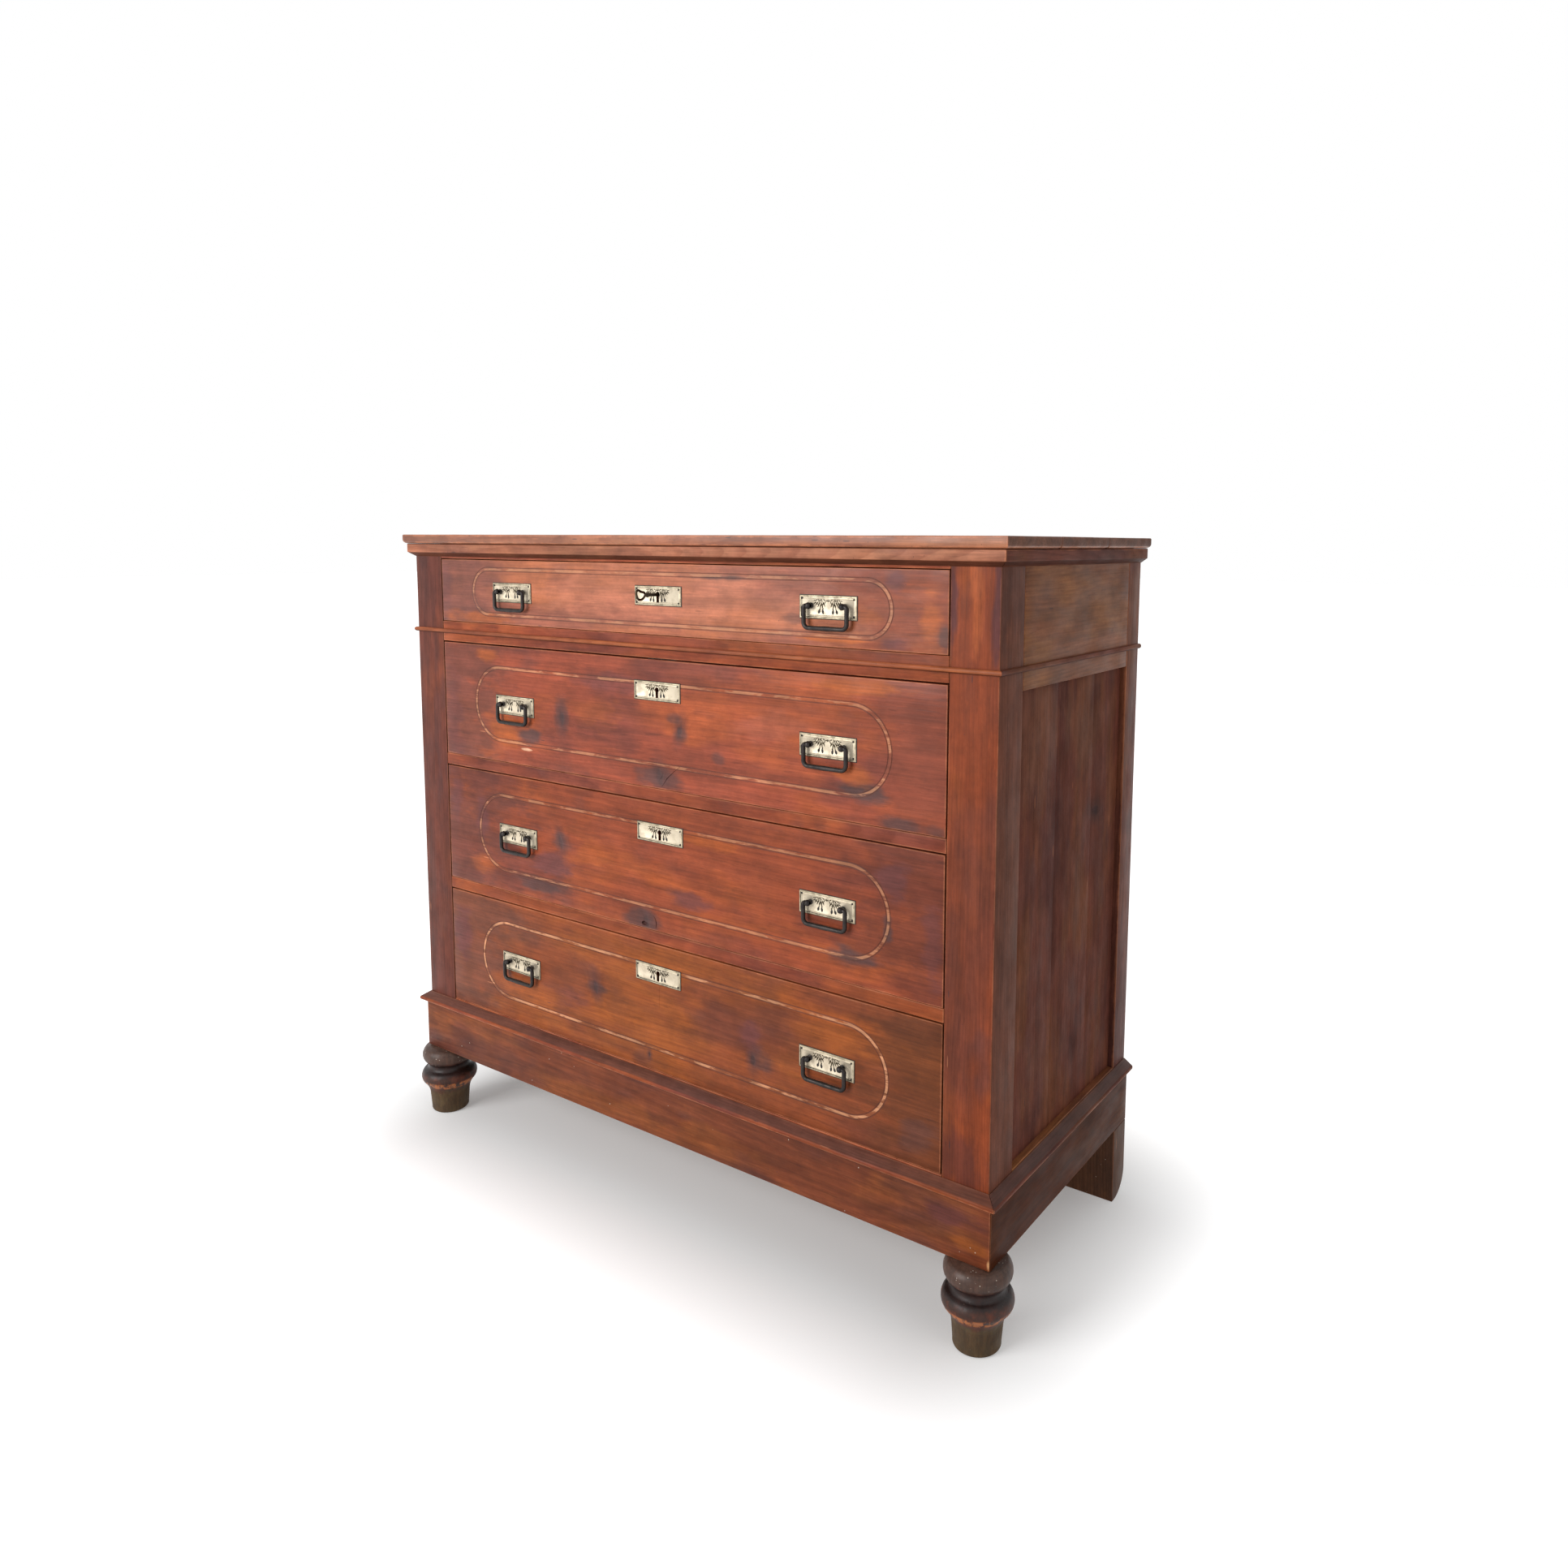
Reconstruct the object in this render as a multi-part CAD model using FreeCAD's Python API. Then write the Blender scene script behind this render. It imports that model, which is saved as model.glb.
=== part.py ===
import FreeCAD, Part
import math
import os

# A bachelor's chest in stained pine: a post-and-panel carcass on a plinth, four
# graduated drawers, two turned front feet and two block rear feet.
#
# Millimetres. While it is built, X is across the chest from its middle, Y runs
# from the posts' front face (0) to the back, and Z is up from the floor. save()
# then moves every piece so that the origin is on the floor under the middle of
# the whole chest. "Right" is +X, the right hand of someone facing the drawers.

V = FreeCAD.Vector

# ---------------------------------------------------------------- whole chest
overall_height = 1000.0
carcass_width = 1087.0
carcass_depth = 446.0

# ---------------------------------------------------------------- top and mouldings
top_thickness = 15.0
top_overhang = 14.5
top_upper_round = 1.5
top_lower_round = 6.5
top_joints = (133.0, 286.0)
top_joint_gap = 0.6

cornice_overhang = 9.8
cornice_fascia = 14.0
cornice_chamfer = 7.0

bead_height = 7.0
bead_overhang = 4.8

cap_height = 15.0
cap_overhang = 14.3
cap_nose = 3.0
cap_nose_chamfer = 2.0

# ---------------------------------------------------------------- plinth and feet
plinth_height = 82.5
plinth_overhang = 5.4
plinth_thickness = 22.0
corner_block = 60.0

foot_height = 114.0
foot_inset_x = 21.2
foot_inset_y = 15.9
foot_pad_radius = 27.0
foot_shank_radius = 30.8
foot_shank_top_radius = 32.8
foot_bulb_radius = 46.2
foot_neck_radius = 33.5
foot_bead_radius = 43.9
foot_tenon_radius = 12.0
foot_tenon_length = 45.0
tenon_clearance = 0.1

rear_foot_width = 90.0
rear_foot_flat = 8.0
rear_foot_cheek = 60.0

# ---------------------------------------------------------------- carcass frame
front_post_width = 66.5
front_post_depth = 62.0
rear_post_width = 30.0
rear_post_depth = 46.0

top_rail = 23.2
waist_rail = 33.0
third_rail = 19.0
fourth_rail = 18.5
bottom_rail = 16.5
rear_rail_depth = 20.0
tenon_length = 20.0
tenon_shoulder = 3.0
tenon_setback = 12.0
rear_tenon_setback = 5.0
tenon_gap = 1.0

frieze_height = 169.0
frieze_thickness = 28.0
panel_recess = 9.0
panel_thickness = 10.0
panel_groove = 8.0

back_thickness = 10.0
back_rebate = 18.0
back_board_count = 5
back_board_gap = 0.8

runner_width = 58.0
runner_thickness = 16.0
guide_width = 18.0
guide_height = 22.0
stop_length = 40.0
stop_depth = 18.0
stop_height = 6.5
stop_clearance = 0.3

# ---------------------------------------------------------------- drawers
drawer_height_ratio = (100.4, 185.4, 191.2, 193.3)
drawer_gap_above = 1.7
drawer_gap_below = 0.3
drawer_gap_side = 1.5
drawer_rear_clearance = 11.0
drawer_count = len(drawer_height_ratio)

front_thickness = 22.0
front_round = 0.8
side_thickness = 13.0
side_drop = 6.0
tail_length = 14.0
tail_pitch = 46.0
tail_slope = 1.0 / 6.0
tail_share = 0.62
box_back_thickness = 12.0
box_back_housing = 5.0
box_back_drop = 4.0
bottom_thickness = 7.0
bottom_height = 9.0
bottom_groove = 6.0

line_margin = (11.0, 31.0, 31.0, 31.0)
line_end_margin = 76.0
line_width = 6.0
line_quirk = 1.3
line_depth = 1.2

# ---------------------------------------------------------------- fittings
pull_end_margin = 173.5
pull_plate_width = 88.0
pull_plate_height = 29.5
plate_thickness = 1.6
plate_chamfer = 0.9
pin_inset = 4.0
pin_radius = 0.7
pin_head_radius = 1.4
pin_length = 9.0

eye_place = 26.0
eye_rise = 1.5
eye_standoff = 7.5
eye_ball_radius = 4.2
eye_neck_radius = 2.6
eye_shank_radius = 1.95
nut_size = 8.0
nut_thickness = 3.0
nut_clearance = 0.1

bail_radius = 2.6
bail_pin_radius = 1.9
bail_clearance = 0.3
bail_drop = 28.4
bail_corner = 7.0
bail_pin_reach = 7.0

escutcheon_width = 88.0
escutcheon_height = 27.0
keyhole_place = (9.0, 5.0, 7.0, 0.0)
keyhole_drop = 43.0
keyhole_radius = 3.4
keyhole_slot = 4.0
keyhole_length = 11.0

lock_width = 56.0
lock_height = 60.0
lock_depth = 12.0
lock_wall = 1.6
bolt_width = 26.0
bolt_thickness = 3.8
bolt_height = 34.0
bolt_setback = 4.4
bolt_clearance = 0.3
bolt_throw = 8.0
strike_clearance = 1.0

key_shaft_radius = 2.5
key_clearance = 0.3
key_reach = 25.0
key_bow_length = 19.5
key_bow_height = 16.5
key_bow_bar = 2.6
key_bit_length = 9.0
key_bit_thickness = 2.4
key_bit_width = 3.2

# ---------------------------------------------------------------- worked-out places
half_width = carcass_width / 2
post_inside = half_width - front_post_width
top_underside = overall_height - top_thickness
plinth_top = foot_height + plinth_height
plinth_inside = plinth_thickness - plinth_overhang
back_face = carcass_depth - back_thickness
rear_post_face = carcass_depth - rear_post_depth
rear_post_inside = half_width - rear_post_width
rear_rail_face = back_face - rear_rail_depth
rails = (top_rail, waist_rail, third_rail, fourth_rail, bottom_rail)

drawer_half_width = post_inside - drawer_gap_side
drawer_depth = back_face - drawer_rear_clearance
pull_place = drawer_half_width - pull_end_margin
free_height = (
    top_underside - plinth_top - sum(rails) - drawer_count * (drawer_gap_above + drawer_gap_below)
)
front_height = [free_height * ratio / sum(drawer_height_ratio) for ratio in drawer_height_ratio]

# Underside of the rail over each drawer, from the top drawer down.
opening_top = []
level = top_underside
for rail, height in zip(rails, front_height):
    level -= rail
    opening_top.append(level)
    level -= height + drawer_gap_above + drawer_gap_below
front_top = [top - drawer_gap_above for top in opening_top]
front_bottom = [top - height for top, height in zip(front_top, front_height)]
rail_top = [bottom - drawer_gap_below for bottom in front_bottom]

bead_level = opening_top[1] + waist_rail / 2
frieze_bottom = top_underside - frieze_height
foot_x = half_width - foot_inset_x
foot_y = foot_inset_y
rear_foot_round = rear_post_depth - rear_foot_flat

eye_axis_y = -eye_standoff
bail_leg_place = eye_place + eye_ball_radius + bail_clearance + bail_radius
key_axis_z = front_top[0] - keyhole_drop
lock_face = front_thickness - lock_depth
bolt_face = lock_face + lock_wall + bolt_setback

# The chest reaches from its foremost point, the foot, bail or key, to its back.
foremost = min(foot_y - foot_bulb_radius, -key_reach - key_bow_length, eye_axis_y - eye_ball_radius)
middle_y = (foremost + carcass_depth) / 2


# ---------------------------------------------------------------- helpers
def save(node, *solids):
    """Writes one node; several solids in it stay separate."""
    shape = solids[0].copy() if len(solids) == 1 else Part.makeCompound(list(solids))
    shape.translate(V(0, -middle_y, 0))
    shape.exportStep(f"parts/{node}.step")


def box(x, y, z):
    """A block from its (low, high) pair along each axis."""
    corner = V(x[0], y[0], z[0])
    return Part.makeBox(x[1] - x[0], y[1] - y[0], z[1] - z[0], corner)


def twin(shape):
    """The same piece for the other side of the chest."""
    return shape.mirror(V(0, 0, 0), V(1, 0, 0))


def rod(radius, start, end):
    return Part.makeCylinder(radius, (end - start).Length, start, end - start)


def fused(*shapes):
    return shapes[0].multiFuse(list(shapes[1:])).removeSplitter()


def polygon(points):
    return Part.Face(Part.makePolygon(points + points[:1]))


def arc(start, through, end):
    return Part.Arc(start, through, end).toShape()


def line(start, end):
    return Part.LineSegment(start, end).toShape()


def rounded(shape, radius, wanted):
    """Rounds the edges whose middle point passes the test."""
    edges = [e for e in shape.Edges if wanted(e.CenterOfMass)]
    return shape.makeFillet(radius, edges)


def moulding(section):
    """Front, left and right lengths of a moulding, mitred at the front corners.

    The section lies in the XZ plane, with X the distance out from the carcass.
    """
    out = section.BoundBox.XMax + 1
    inward = 1 - section.BoundBox.XMin
    height = section.BoundBox.ZMax + 1

    run = section.copy()
    run.translate(V(half_width, -out, 0))
    run = run.extrude(V(0, carcass_depth + out, 0))
    side_plan = polygon([
        V(half_width + out, -out, 0),
        V(half_width + out, carcass_depth, 0),
        V(half_width - inward, carcass_depth, 0),
        V(half_width - inward, inward, 0),
    ])
    right = run.common(side_plan.extrude(V(0, 0, height)))

    run = section.copy()
    run.rotate(V(0, 0, 0), V(0, 0, 1), -90)
    run.translate(V(-half_width - out, 0, 0))
    run = run.extrude(V(2 * (half_width + out), 0, 0))
    front_plan = polygon([
        V(-half_width - out, -out, 0),
        V(half_width + out, -out, 0),
        V(half_width - inward, inward, 0),
        V(-half_width + inward, inward, 0),
    ])
    front = run.common(front_plan.extrude(V(0, 0, height)))
    return front, twin(right), right


# ---------------------------------------------------------------- top
def top_boards():
    """Three boards, edge to edge, cut from one slab with a rounded edge."""
    edge = half_width + top_overhang
    slab = box((-edge, edge), (-top_overhang, carcass_depth), (top_underside, overall_height))

    def on_rim(point):
        return abs(point.x) > edge - 1 or point.y < 1 - top_overhang

    slab = rounded(slab, top_lower_round, lambda p: on_rim(p) and p.z < top_underside + 1)
    slab = rounded(slab, top_upper_round, lambda p: on_rim(p) and p.z > overall_height - 0.01)
    first, second = top_joints
    gap = top_joint_gap / 2
    strips = (
        ("top_board_front", -top_overhang - 1, first - gap),
        ("top_board_middle", first + gap, second - gap),
        ("top_board_rear", second + gap, carcass_depth + 1),
    )
    for node, start, end in strips:
        strip = box((-edge - 1, edge + 1), (start, end), (top_underside - 1, overall_height + 1))
        save(node, slab.common(strip))


def mouldings():
    """Cornice under the top, bead at the waist and cap over the plinth."""
    fascia_bottom = top_underside - cornice_fascia
    cornice = polygon([
        V(0, 0, fascia_bottom - cornice_chamfer),
        V(cornice_overhang, 0, fascia_bottom),
        V(cornice_overhang, 0, top_underside),
        V(0, 0, top_underside),
    ])
    save("cornice", *moulding(cornice))

    low = V(0, 0, bead_level - bead_height / 2)
    high = V(0, 0, bead_level + bead_height / 2)
    crown = V(bead_overhang, 0, bead_level)
    bead = Part.Face(Part.Wire([arc(low, crown, high), line(high, low)]))
    save("waist_bead", *moulding(bead))

    cap = polygon([
        V(0, 0, plinth_top),
        V(cap_overhang - cap_nose_chamfer, 0, plinth_top),
        V(cap_overhang, 0, plinth_top + cap_nose_chamfer),
        V(cap_overhang, 0, plinth_top + cap_nose_chamfer + cap_nose),
        V(0, 0, plinth_top + cap_height),
    ])
    save("plinth_cap", *moulding(cap))


# ---------------------------------------------------------------- plinth and feet
def foot_tenon_hole():
    base = V(foot_x, foot_y, foot_height - 1)
    top = V(foot_x, foot_y, foot_height + foot_tenon_length + 1)
    return rod(foot_tenon_radius + tenon_clearance, base, top)


def plinth():
    """Mitred boards with a glued block in each front corner, bored for the feet."""
    hole = foot_tenon_hole()
    section = polygon([
        V(-plinth_inside, 0, foot_height),
        V(plinth_overhang, 0, foot_height),
        V(plinth_overhang, 0, plinth_top),
        V(-plinth_inside, 0, plinth_top),
    ])
    front, left, right = moulding(section)
    right = right.cut(hole)
    save("plinth_front", front.cut(hole).cut(twin(hole)))
    save("plinth_left", twin(right))
    save("plinth_right", right)

    inside = half_width - plinth_inside
    rear_face = carcass_depth - plinth_thickness
    upright = (foot_height, plinth_top)
    save("plinth_rear", box((-inside, inside), (rear_face, carcass_depth), upright))

    reach = (plinth_inside, plinth_inside + corner_block)
    block = box((inside - corner_block, inside), reach, upright).cut(hole)
    save("corner_blocks", twin(block), block)


def turned_foot():
    """A shank, a bulb and a flat bead over a neck, turned in one with its tenon."""
    def at(radius, share):
        return V(radius, 0, share * foot_height)

    pad_edge = at(foot_pad_radius, 0.0)
    shank_low = at(foot_shank_radius, 0.045)
    shank_high = at(foot_shank_top_radius, 0.27)
    bulb_low = at(foot_bulb_radius - 4.5, 0.455)
    bulb_high = at(foot_bulb_radius - 5.5, 0.65)
    bead_low = at(foot_bead_radius - 5.5, 0.775)
    bead_high = at(foot_bead_radius - 7.5, 1.0)
    tenon_foot = at(foot_tenon_radius, 1.0)
    tenon_top = V(foot_tenon_radius, 0, foot_height + foot_tenon_length)
    outline = Part.Wire([
        line(at(0, 0), pad_edge),
        arc(pad_edge, at(foot_shank_radius - 0.9, 0.012), shank_low),
        line(shank_low, shank_high),
        arc(shank_high, at(foot_shank_top_radius + 3.0, 0.375), bulb_low),
        arc(bulb_low, at(foot_bulb_radius, 0.55), bulb_high),
        arc(bulb_high, at(foot_neck_radius, 0.715), bead_low),
        arc(bead_low, at(foot_bead_radius, 0.88), bead_high),
        line(bead_high, tenon_foot),
        line(tenon_foot, tenon_top),
        line(tenon_top, V(0, 0, tenon_top.z)),
        line(V(0, 0, tenon_top.z), at(0, 0)),
    ])
    foot = Part.Face(outline).revolve(V(0, 0, 0), V(0, 0, 1), 360)
    foot.translate(V(foot_x, foot_y, 0))
    return foot


def rear_foot():
    """A block under the plinth, rounded at its lower back, with a cheek glued inside."""
    outside = half_width + plinth_overhang
    inner = outside - rear_foot_width
    block = box((inner, outside), (rear_post_face, carcass_depth), (0, foot_height))
    axis_y = carcass_depth - rear_foot_round
    drum = rod(rear_foot_round, V(inner, axis_y, rear_foot_round), V(outside, axis_y, rear_foot_round))
    corner = box((inner, outside), (axis_y, carcass_depth), (0, rear_foot_round))
    block = block.cut(corner.cut(drum))
    cheek = box(
        (inner, half_width - plinth_inside),
        (rear_post_face, carcass_depth - plinth_thickness),
        (foot_height, foot_height + rear_foot_cheek),
    )
    return fused(block, cheek)


def feet():
    front = turned_foot()
    rear = rear_foot()
    save("front_foot_left", twin(front))
    save("front_foot_right", front)
    save("rear_foot_left", twin(rear))
    save("rear_foot_right", rear)


# ---------------------------------------------------------------- carcass
def tenoned_rail(half_length, y, z, setback):
    """A rail across the chest with a tenon at each end."""
    body = box((-half_length, half_length), y, z)
    reach = half_length + tenon_length
    tenons = box(
        (-reach, reach),
        (y[0] + setback, y[1] - setback),
        (z[0] + tenon_shoulder, z[1] - tenon_shoulder),
    )
    return fused(body, tenons)


def strike(index):
    """The mortise over drawer `index` that its lock bolt rises into."""
    middle = keyhole_place[index]
    half = bolt_width / 2 + strike_clearance
    return box(
        (middle - half, middle + half),
        (bolt_face - strike_clearance, bolt_face + bolt_thickness + strike_clearance),
        (opening_top[index] - 1, front_top[index] + bolt_throw + strike_clearance),
    )


def front_rails():
    """The five rails between the front posts, from the top down."""
    levels = [(opening_top[0], top_underside)]
    for index in range(1, drawer_count):
        levels.append((opening_top[index], rail_top[index - 1]))
    levels.append((plinth_top, rail_top[-1]))
    made = [tenoned_rail(post_inside, (0, front_post_depth), z, tenon_setback) for z in levels]
    for index in range(drawer_count):
        made[index] = made[index].cut(strike(index))
    return made


def rear_rails():
    y = (rear_rail_face, back_face)
    upper = tenoned_rail(rear_post_inside, y, (opening_top[0], top_underside), rear_tenon_setback)
    lower = tenoned_rail(rear_post_inside, y, (plinth_top, rail_top[-1]), rear_tenon_setback)
    return [upper, lower]


def side_rail(z, thickness):
    """A rail from front post to rear post, flush outside, tenoned into both."""
    body = box((half_width - thickness, half_width), (front_post_depth, rear_post_face), z)
    tenon = box(
        (half_width - panel_recess - panel_thickness, half_width - panel_recess),
        (front_post_depth - tenon_length, rear_rail_face + rear_tenon_setback - tenon_gap),
        (z[0] + tenon_shoulder, z[1] - tenon_shoulder),
    )
    return fused(body, tenon)


def carcass():
    """Posts, rails and panels of the frame; each joint is cut by the piece it takes."""
    outer = half_width - panel_recess
    panel_bottom = plinth_top + bottom_rail - panel_groove
    panel = box(
        (outer - panel_thickness, outer),
        (front_post_depth - panel_groove, rear_post_face + panel_groove),
        (panel_bottom, frieze_bottom + panel_groove),
    )
    frieze = side_rail((frieze_bottom, top_underside), frieze_thickness).cut(panel)
    sill = side_rail((plinth_top, plinth_top + bottom_rail), frieze_thickness).cut(panel)
    upright = (plinth_top, top_underside)

    front_post = box((post_inside, half_width), (0, front_post_depth), upright)
    rear_post = box((rear_post_inside, half_width), (rear_post_face, carcass_depth), upright)
    back_edge = rear_post_inside + back_rebate
    rear_post = rear_post.cut(box((rear_post_inside, back_edge), (back_face, carcass_depth), upright))
    across_front = front_rails()
    across_rear = rear_rails()
    for piece in [frieze, sill, panel] + across_front:
        front_post = front_post.cut(piece)
    for piece in [frieze, sill, panel] + across_rear:
        rear_post = rear_post.cut(piece)

    save("front_post_left", twin(front_post))
    save("front_post_right", front_post)
    save("rear_posts", twin(rear_post), rear_post)
    save("frieze_rails", twin(frieze), frieze)
    save("sill_rails", twin(sill), sill)
    save("side_panel_left", twin(panel))
    save("side_panel_right", panel)
    save("front_rails", *across_front)
    save("rear_rails", *across_rear)

    pitch = (top_underside - plinth_top + back_board_gap) / back_board_count
    boards = []
    for index in range(back_board_count):
        bottom = plinth_top + index * pitch
        boards.append(box(
            (-back_edge, back_edge),
            (back_face, carcass_depth),
            (bottom, bottom + pitch - back_board_gap),
        ))
    save("back_boards", *boards)


def drawer_running():
    """Runners, the kickers over the top drawer, side guides and stops."""
    across = (rear_post_inside - runner_width, rear_post_inside)
    along = (front_post_depth, rear_rail_face)
    runners = []
    guides_and_stops = []
    for top in rail_top + [opening_top[0] + runner_thickness]:
        runner = box(across, along, (top - runner_thickness, top))
        runners += [twin(runner), runner]
    for top in rail_top:
        guide = box(
            (post_inside, post_inside + guide_width),
            (front_post_depth, rear_post_face),
            (top, top + guide_height),
        )
        behind = front_thickness + stop_clearance
        stop = box(
            (pull_place - stop_length / 2, pull_place + stop_length / 2),
            (behind, behind + stop_depth),
            (top, top + stop_height),
        )
        guides_and_stops += [twin(guide), guide, twin(stop), stop]
    save("drawer_runners", *runners)
    save("drawer_guides", *guides_and_stops)


# ---------------------------------------------------------------- drawers
def tails(z):
    """Dovetails that tie a drawer side into the back of the front."""
    count = max(2, round((z[1] - z[0]) / tail_pitch))
    pitch = (z[1] - z[0]) / count
    spread = tail_length * tail_slope
    made = []
    for index in range(count):
        middle = z[0] + (index + 0.5) * pitch
        narrow = pitch * tail_share / 2
        wide = narrow + spread
        inner = drawer_half_width - side_thickness
        lap = front_thickness - tail_length
        face = polygon([
            V(inner, lap, middle - wide),
            V(inner, lap, middle + wide),
            V(inner, front_thickness, middle + narrow),
            V(inner, front_thickness, middle - narrow),
        ])
        made.append(face.extrude(V(side_thickness, 0, 0)))
    return made


def keyhole(middle, z, y, clearance=0.0):
    """A round hole with a slot under it, run through a plate or board."""
    radius = keyhole_radius + clearance
    hole = rod(radius, V(middle, y[0], z), V(middle, y[1], z))
    half = keyhole_slot / 2 + clearance
    slot = box((middle - half, middle + half), y, (z - keyhole_length - clearance, z))
    return fused(hole, slot)


def lozenge(radius, half_length, z, depth):
    """A round-ended block let into the front's face, for the scratched line."""
    reach = half_length - radius
    slab = box((-reach, reach), (-1, depth), (z - radius, z + radius))
    ends = [rod(radius, V(x, -1, z), V(x, depth, z)) for x in (-reach, reach)]
    return fused(slab, *ends)


def scratched_line(index):
    """Two quirks around the front, which leave a flat bead between them."""
    radius = front_height[index] / 2 - line_margin[index]
    half_length = drawer_half_width - line_end_margin
    z = (front_top[index] + front_bottom[index]) / 2
    rings = []
    for inset in (0.0, line_width - line_quirk):
        outer = lozenge(radius - inset, half_length - inset, z, line_depth)
        inset += line_quirk
        inner = lozenge(radius - inset, half_length - inset, z, line_depth)
        rings.append(outer.cut(inner))
    return rings


def pins(middle, z, width, height):
    """Four round-headed pins at a plate's corners."""
    made = []
    x_reach = width / 2 - pin_inset
    z_reach = height / 2 - pin_inset
    for x in (middle - x_reach, middle + x_reach):
        for level in (z - z_reach, z + z_reach):
            head_seat = V(x, -plate_thickness, level)
            head = Part.makeSphere(pin_head_radius, head_seat, V(0, -1, 0), 0, 90, 360)
            shank = rod(pin_radius, head_seat, V(x, pin_length, level))
            made.append(fused(head, shank))
    return made


def plate(middle, z, width, height):
    """A stamped plate on the drawer's face, with a chamfered rim."""
    body = box(
        (middle - width / 2, middle + width / 2),
        (-plate_thickness, 0),
        (z - height / 2, z + height / 2),
    )
    rim = [e for e in body.Edges if e.CenterOfMass.y < -plate_thickness + 0.01]
    return body.makeChamfer(plate_chamfer, rim)


def eye_stud(x, z):
    """A ball-headed stud bored across for the bail, with its shank through the front."""
    centre = V(x, eye_axis_y, z)
    ball = Part.makeSphere(eye_ball_radius, centre)
    neck = rod(eye_neck_radius, centre, V(x, -plate_thickness, z))
    tail = V(x, front_thickness + nut_thickness + 1, z)
    shank = rod(eye_shank_radius, V(x, -plate_thickness, z), tail)
    side = V(eye_ball_radius + 1, 0, 0)
    bore = rod(bail_pin_radius + bail_clearance, centre - side, centre + side)
    return fused(ball, neck, shank).cut(bore)


def eye_nut(x, z):
    half = nut_size / 2
    face = front_thickness
    block = box((x - half, x + half), (face, face + nut_thickness), (z - half, z + half))
    hole = rod(eye_shank_radius + nut_clearance, V(x, face - 1, z), V(x, face + nut_thickness + 1, z))
    return block.cut(hole)


def bail(middle, z):
    """A drop handle: a rounded U whose two top ends turn inwards into the studs."""
    y = eye_axis_y
    reach = bail_leg_place
    bottom = z - bail_drop
    corner = bail_corner
    bend = corner * (1 - math.sqrt(0.5))
    shapes = []
    path = Part.Wire([
        line(V(-reach, y, z), V(-reach, y, bottom + corner)),
        arc(
            V(-reach, y, bottom + corner),
            V(-reach + bend, y, bottom + bend),
            V(-reach + corner, y, bottom),
        ),
        line(V(-reach + corner, y, bottom), V(reach - corner, y, bottom)),
        arc(
            V(reach - corner, y, bottom),
            V(reach - bend, y, bottom + bend),
            V(reach, y, bottom + corner),
        ),
        line(V(reach, y, bottom + corner), V(reach, y, z)),
    ])
    circle = Part.Wire(Part.Circle(V(-reach, y, z), V(0, 0, 1), bail_radius).toShape())
    shapes.append(path.makePipeShell([circle], True, True))
    for side in (-1, 1):
        top = V(side * reach, y, z)
        shapes.append(Part.makeSphere(bail_radius, top))
        shapes.append(rod(bail_pin_radius, top, top - V(side * (bail_radius + bail_pin_reach), 0, 0)))
    whole = fused(*shapes)
    whole.translate(V(middle, 0, 0))
    return whole


def lock_case(middle, top):
    """A thin case let into the back of the front, open for the key and the bolt."""
    half = lock_width / 2
    deep = (lock_face, front_thickness)
    case = box((middle - half, middle + half), deep, (top - lock_height, top))
    inside = half - lock_wall
    cavity = box(
        (middle - inside, middle + inside),
        (lock_face + lock_wall, front_thickness - lock_wall),
        (top - lock_height + lock_wall, top - lock_wall),
    )
    slot_half = bolt_width / 2 + bolt_clearance
    slot = box(
        (middle - slot_half, middle + slot_half),
        (bolt_face - bolt_clearance, bolt_face + bolt_thickness + bolt_clearance),
        (top - lock_wall - 1, top + 1),
    )
    z = top - keyhole_drop
    hole = rod(
        key_shaft_radius + key_clearance,
        V(middle, lock_face - 1, z),
        V(middle, lock_face + lock_wall + 1, z),
    )
    half_slot = keyhole_slot / 2
    key_slot = box(
        (middle - half_slot, middle + half_slot),
        (lock_face - 1, lock_face + lock_wall + 1),
        (z - keyhole_length, z),
    )
    return case.cut(cavity).cut(slot).cut(hole).cut(key_slot)


def lock_bolt(middle, top):
    """The bolt, drawn down level with the drawer's top edge."""
    half = bolt_width / 2
    return box(
        (middle - half, middle + half),
        (bolt_face, bolt_face + bolt_thickness),
        (top - bolt_height, top),
    )


def key(middle, z):
    """A small key in the top drawer: shield-shaped bow, round shaft and plain bit."""
    bow_end = -key_reach - key_bow_length
    half = key_bow_height / 2
    x = middle - key_bow_bar / 2
    outline = [
        V(x, bow_end, z + half),
        V(x, -key_reach, z + half * 0.8),
        V(x, -key_reach + 1.0, z - half * 0.3),
        V(x, bow_end + key_bow_length * 0.36, z - half),
        V(x, bow_end + key_bow_length * 0.06, z - half * 0.45),
    ]
    rim = Part.makePolygon(outline + outline[:1])
    ring = Part.Face(rim).cut(Part.Face(rim.makeOffset2D(-key_bow_bar)))
    bow = ring.extrude(V(key_bow_bar, 0, 0))
    tip = bolt_face - key_clearance
    shaft = rod(key_shaft_radius, V(middle, -key_reach - key_bow_bar / 2, z), V(middle, tip, z))
    collar = rod(key_shaft_radius + 1.0, V(middle, -key_reach + 3.0, z), V(middle, -key_reach + 5.5, z))
    half_bit = key_bit_thickness / 2
    bit = box(
        (middle - half_bit, middle + half_bit),
        (tip - key_bit_width, tip),
        (z - key_bit_length, z),
    )
    return fused(bow, shaft, collar, bit)


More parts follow.
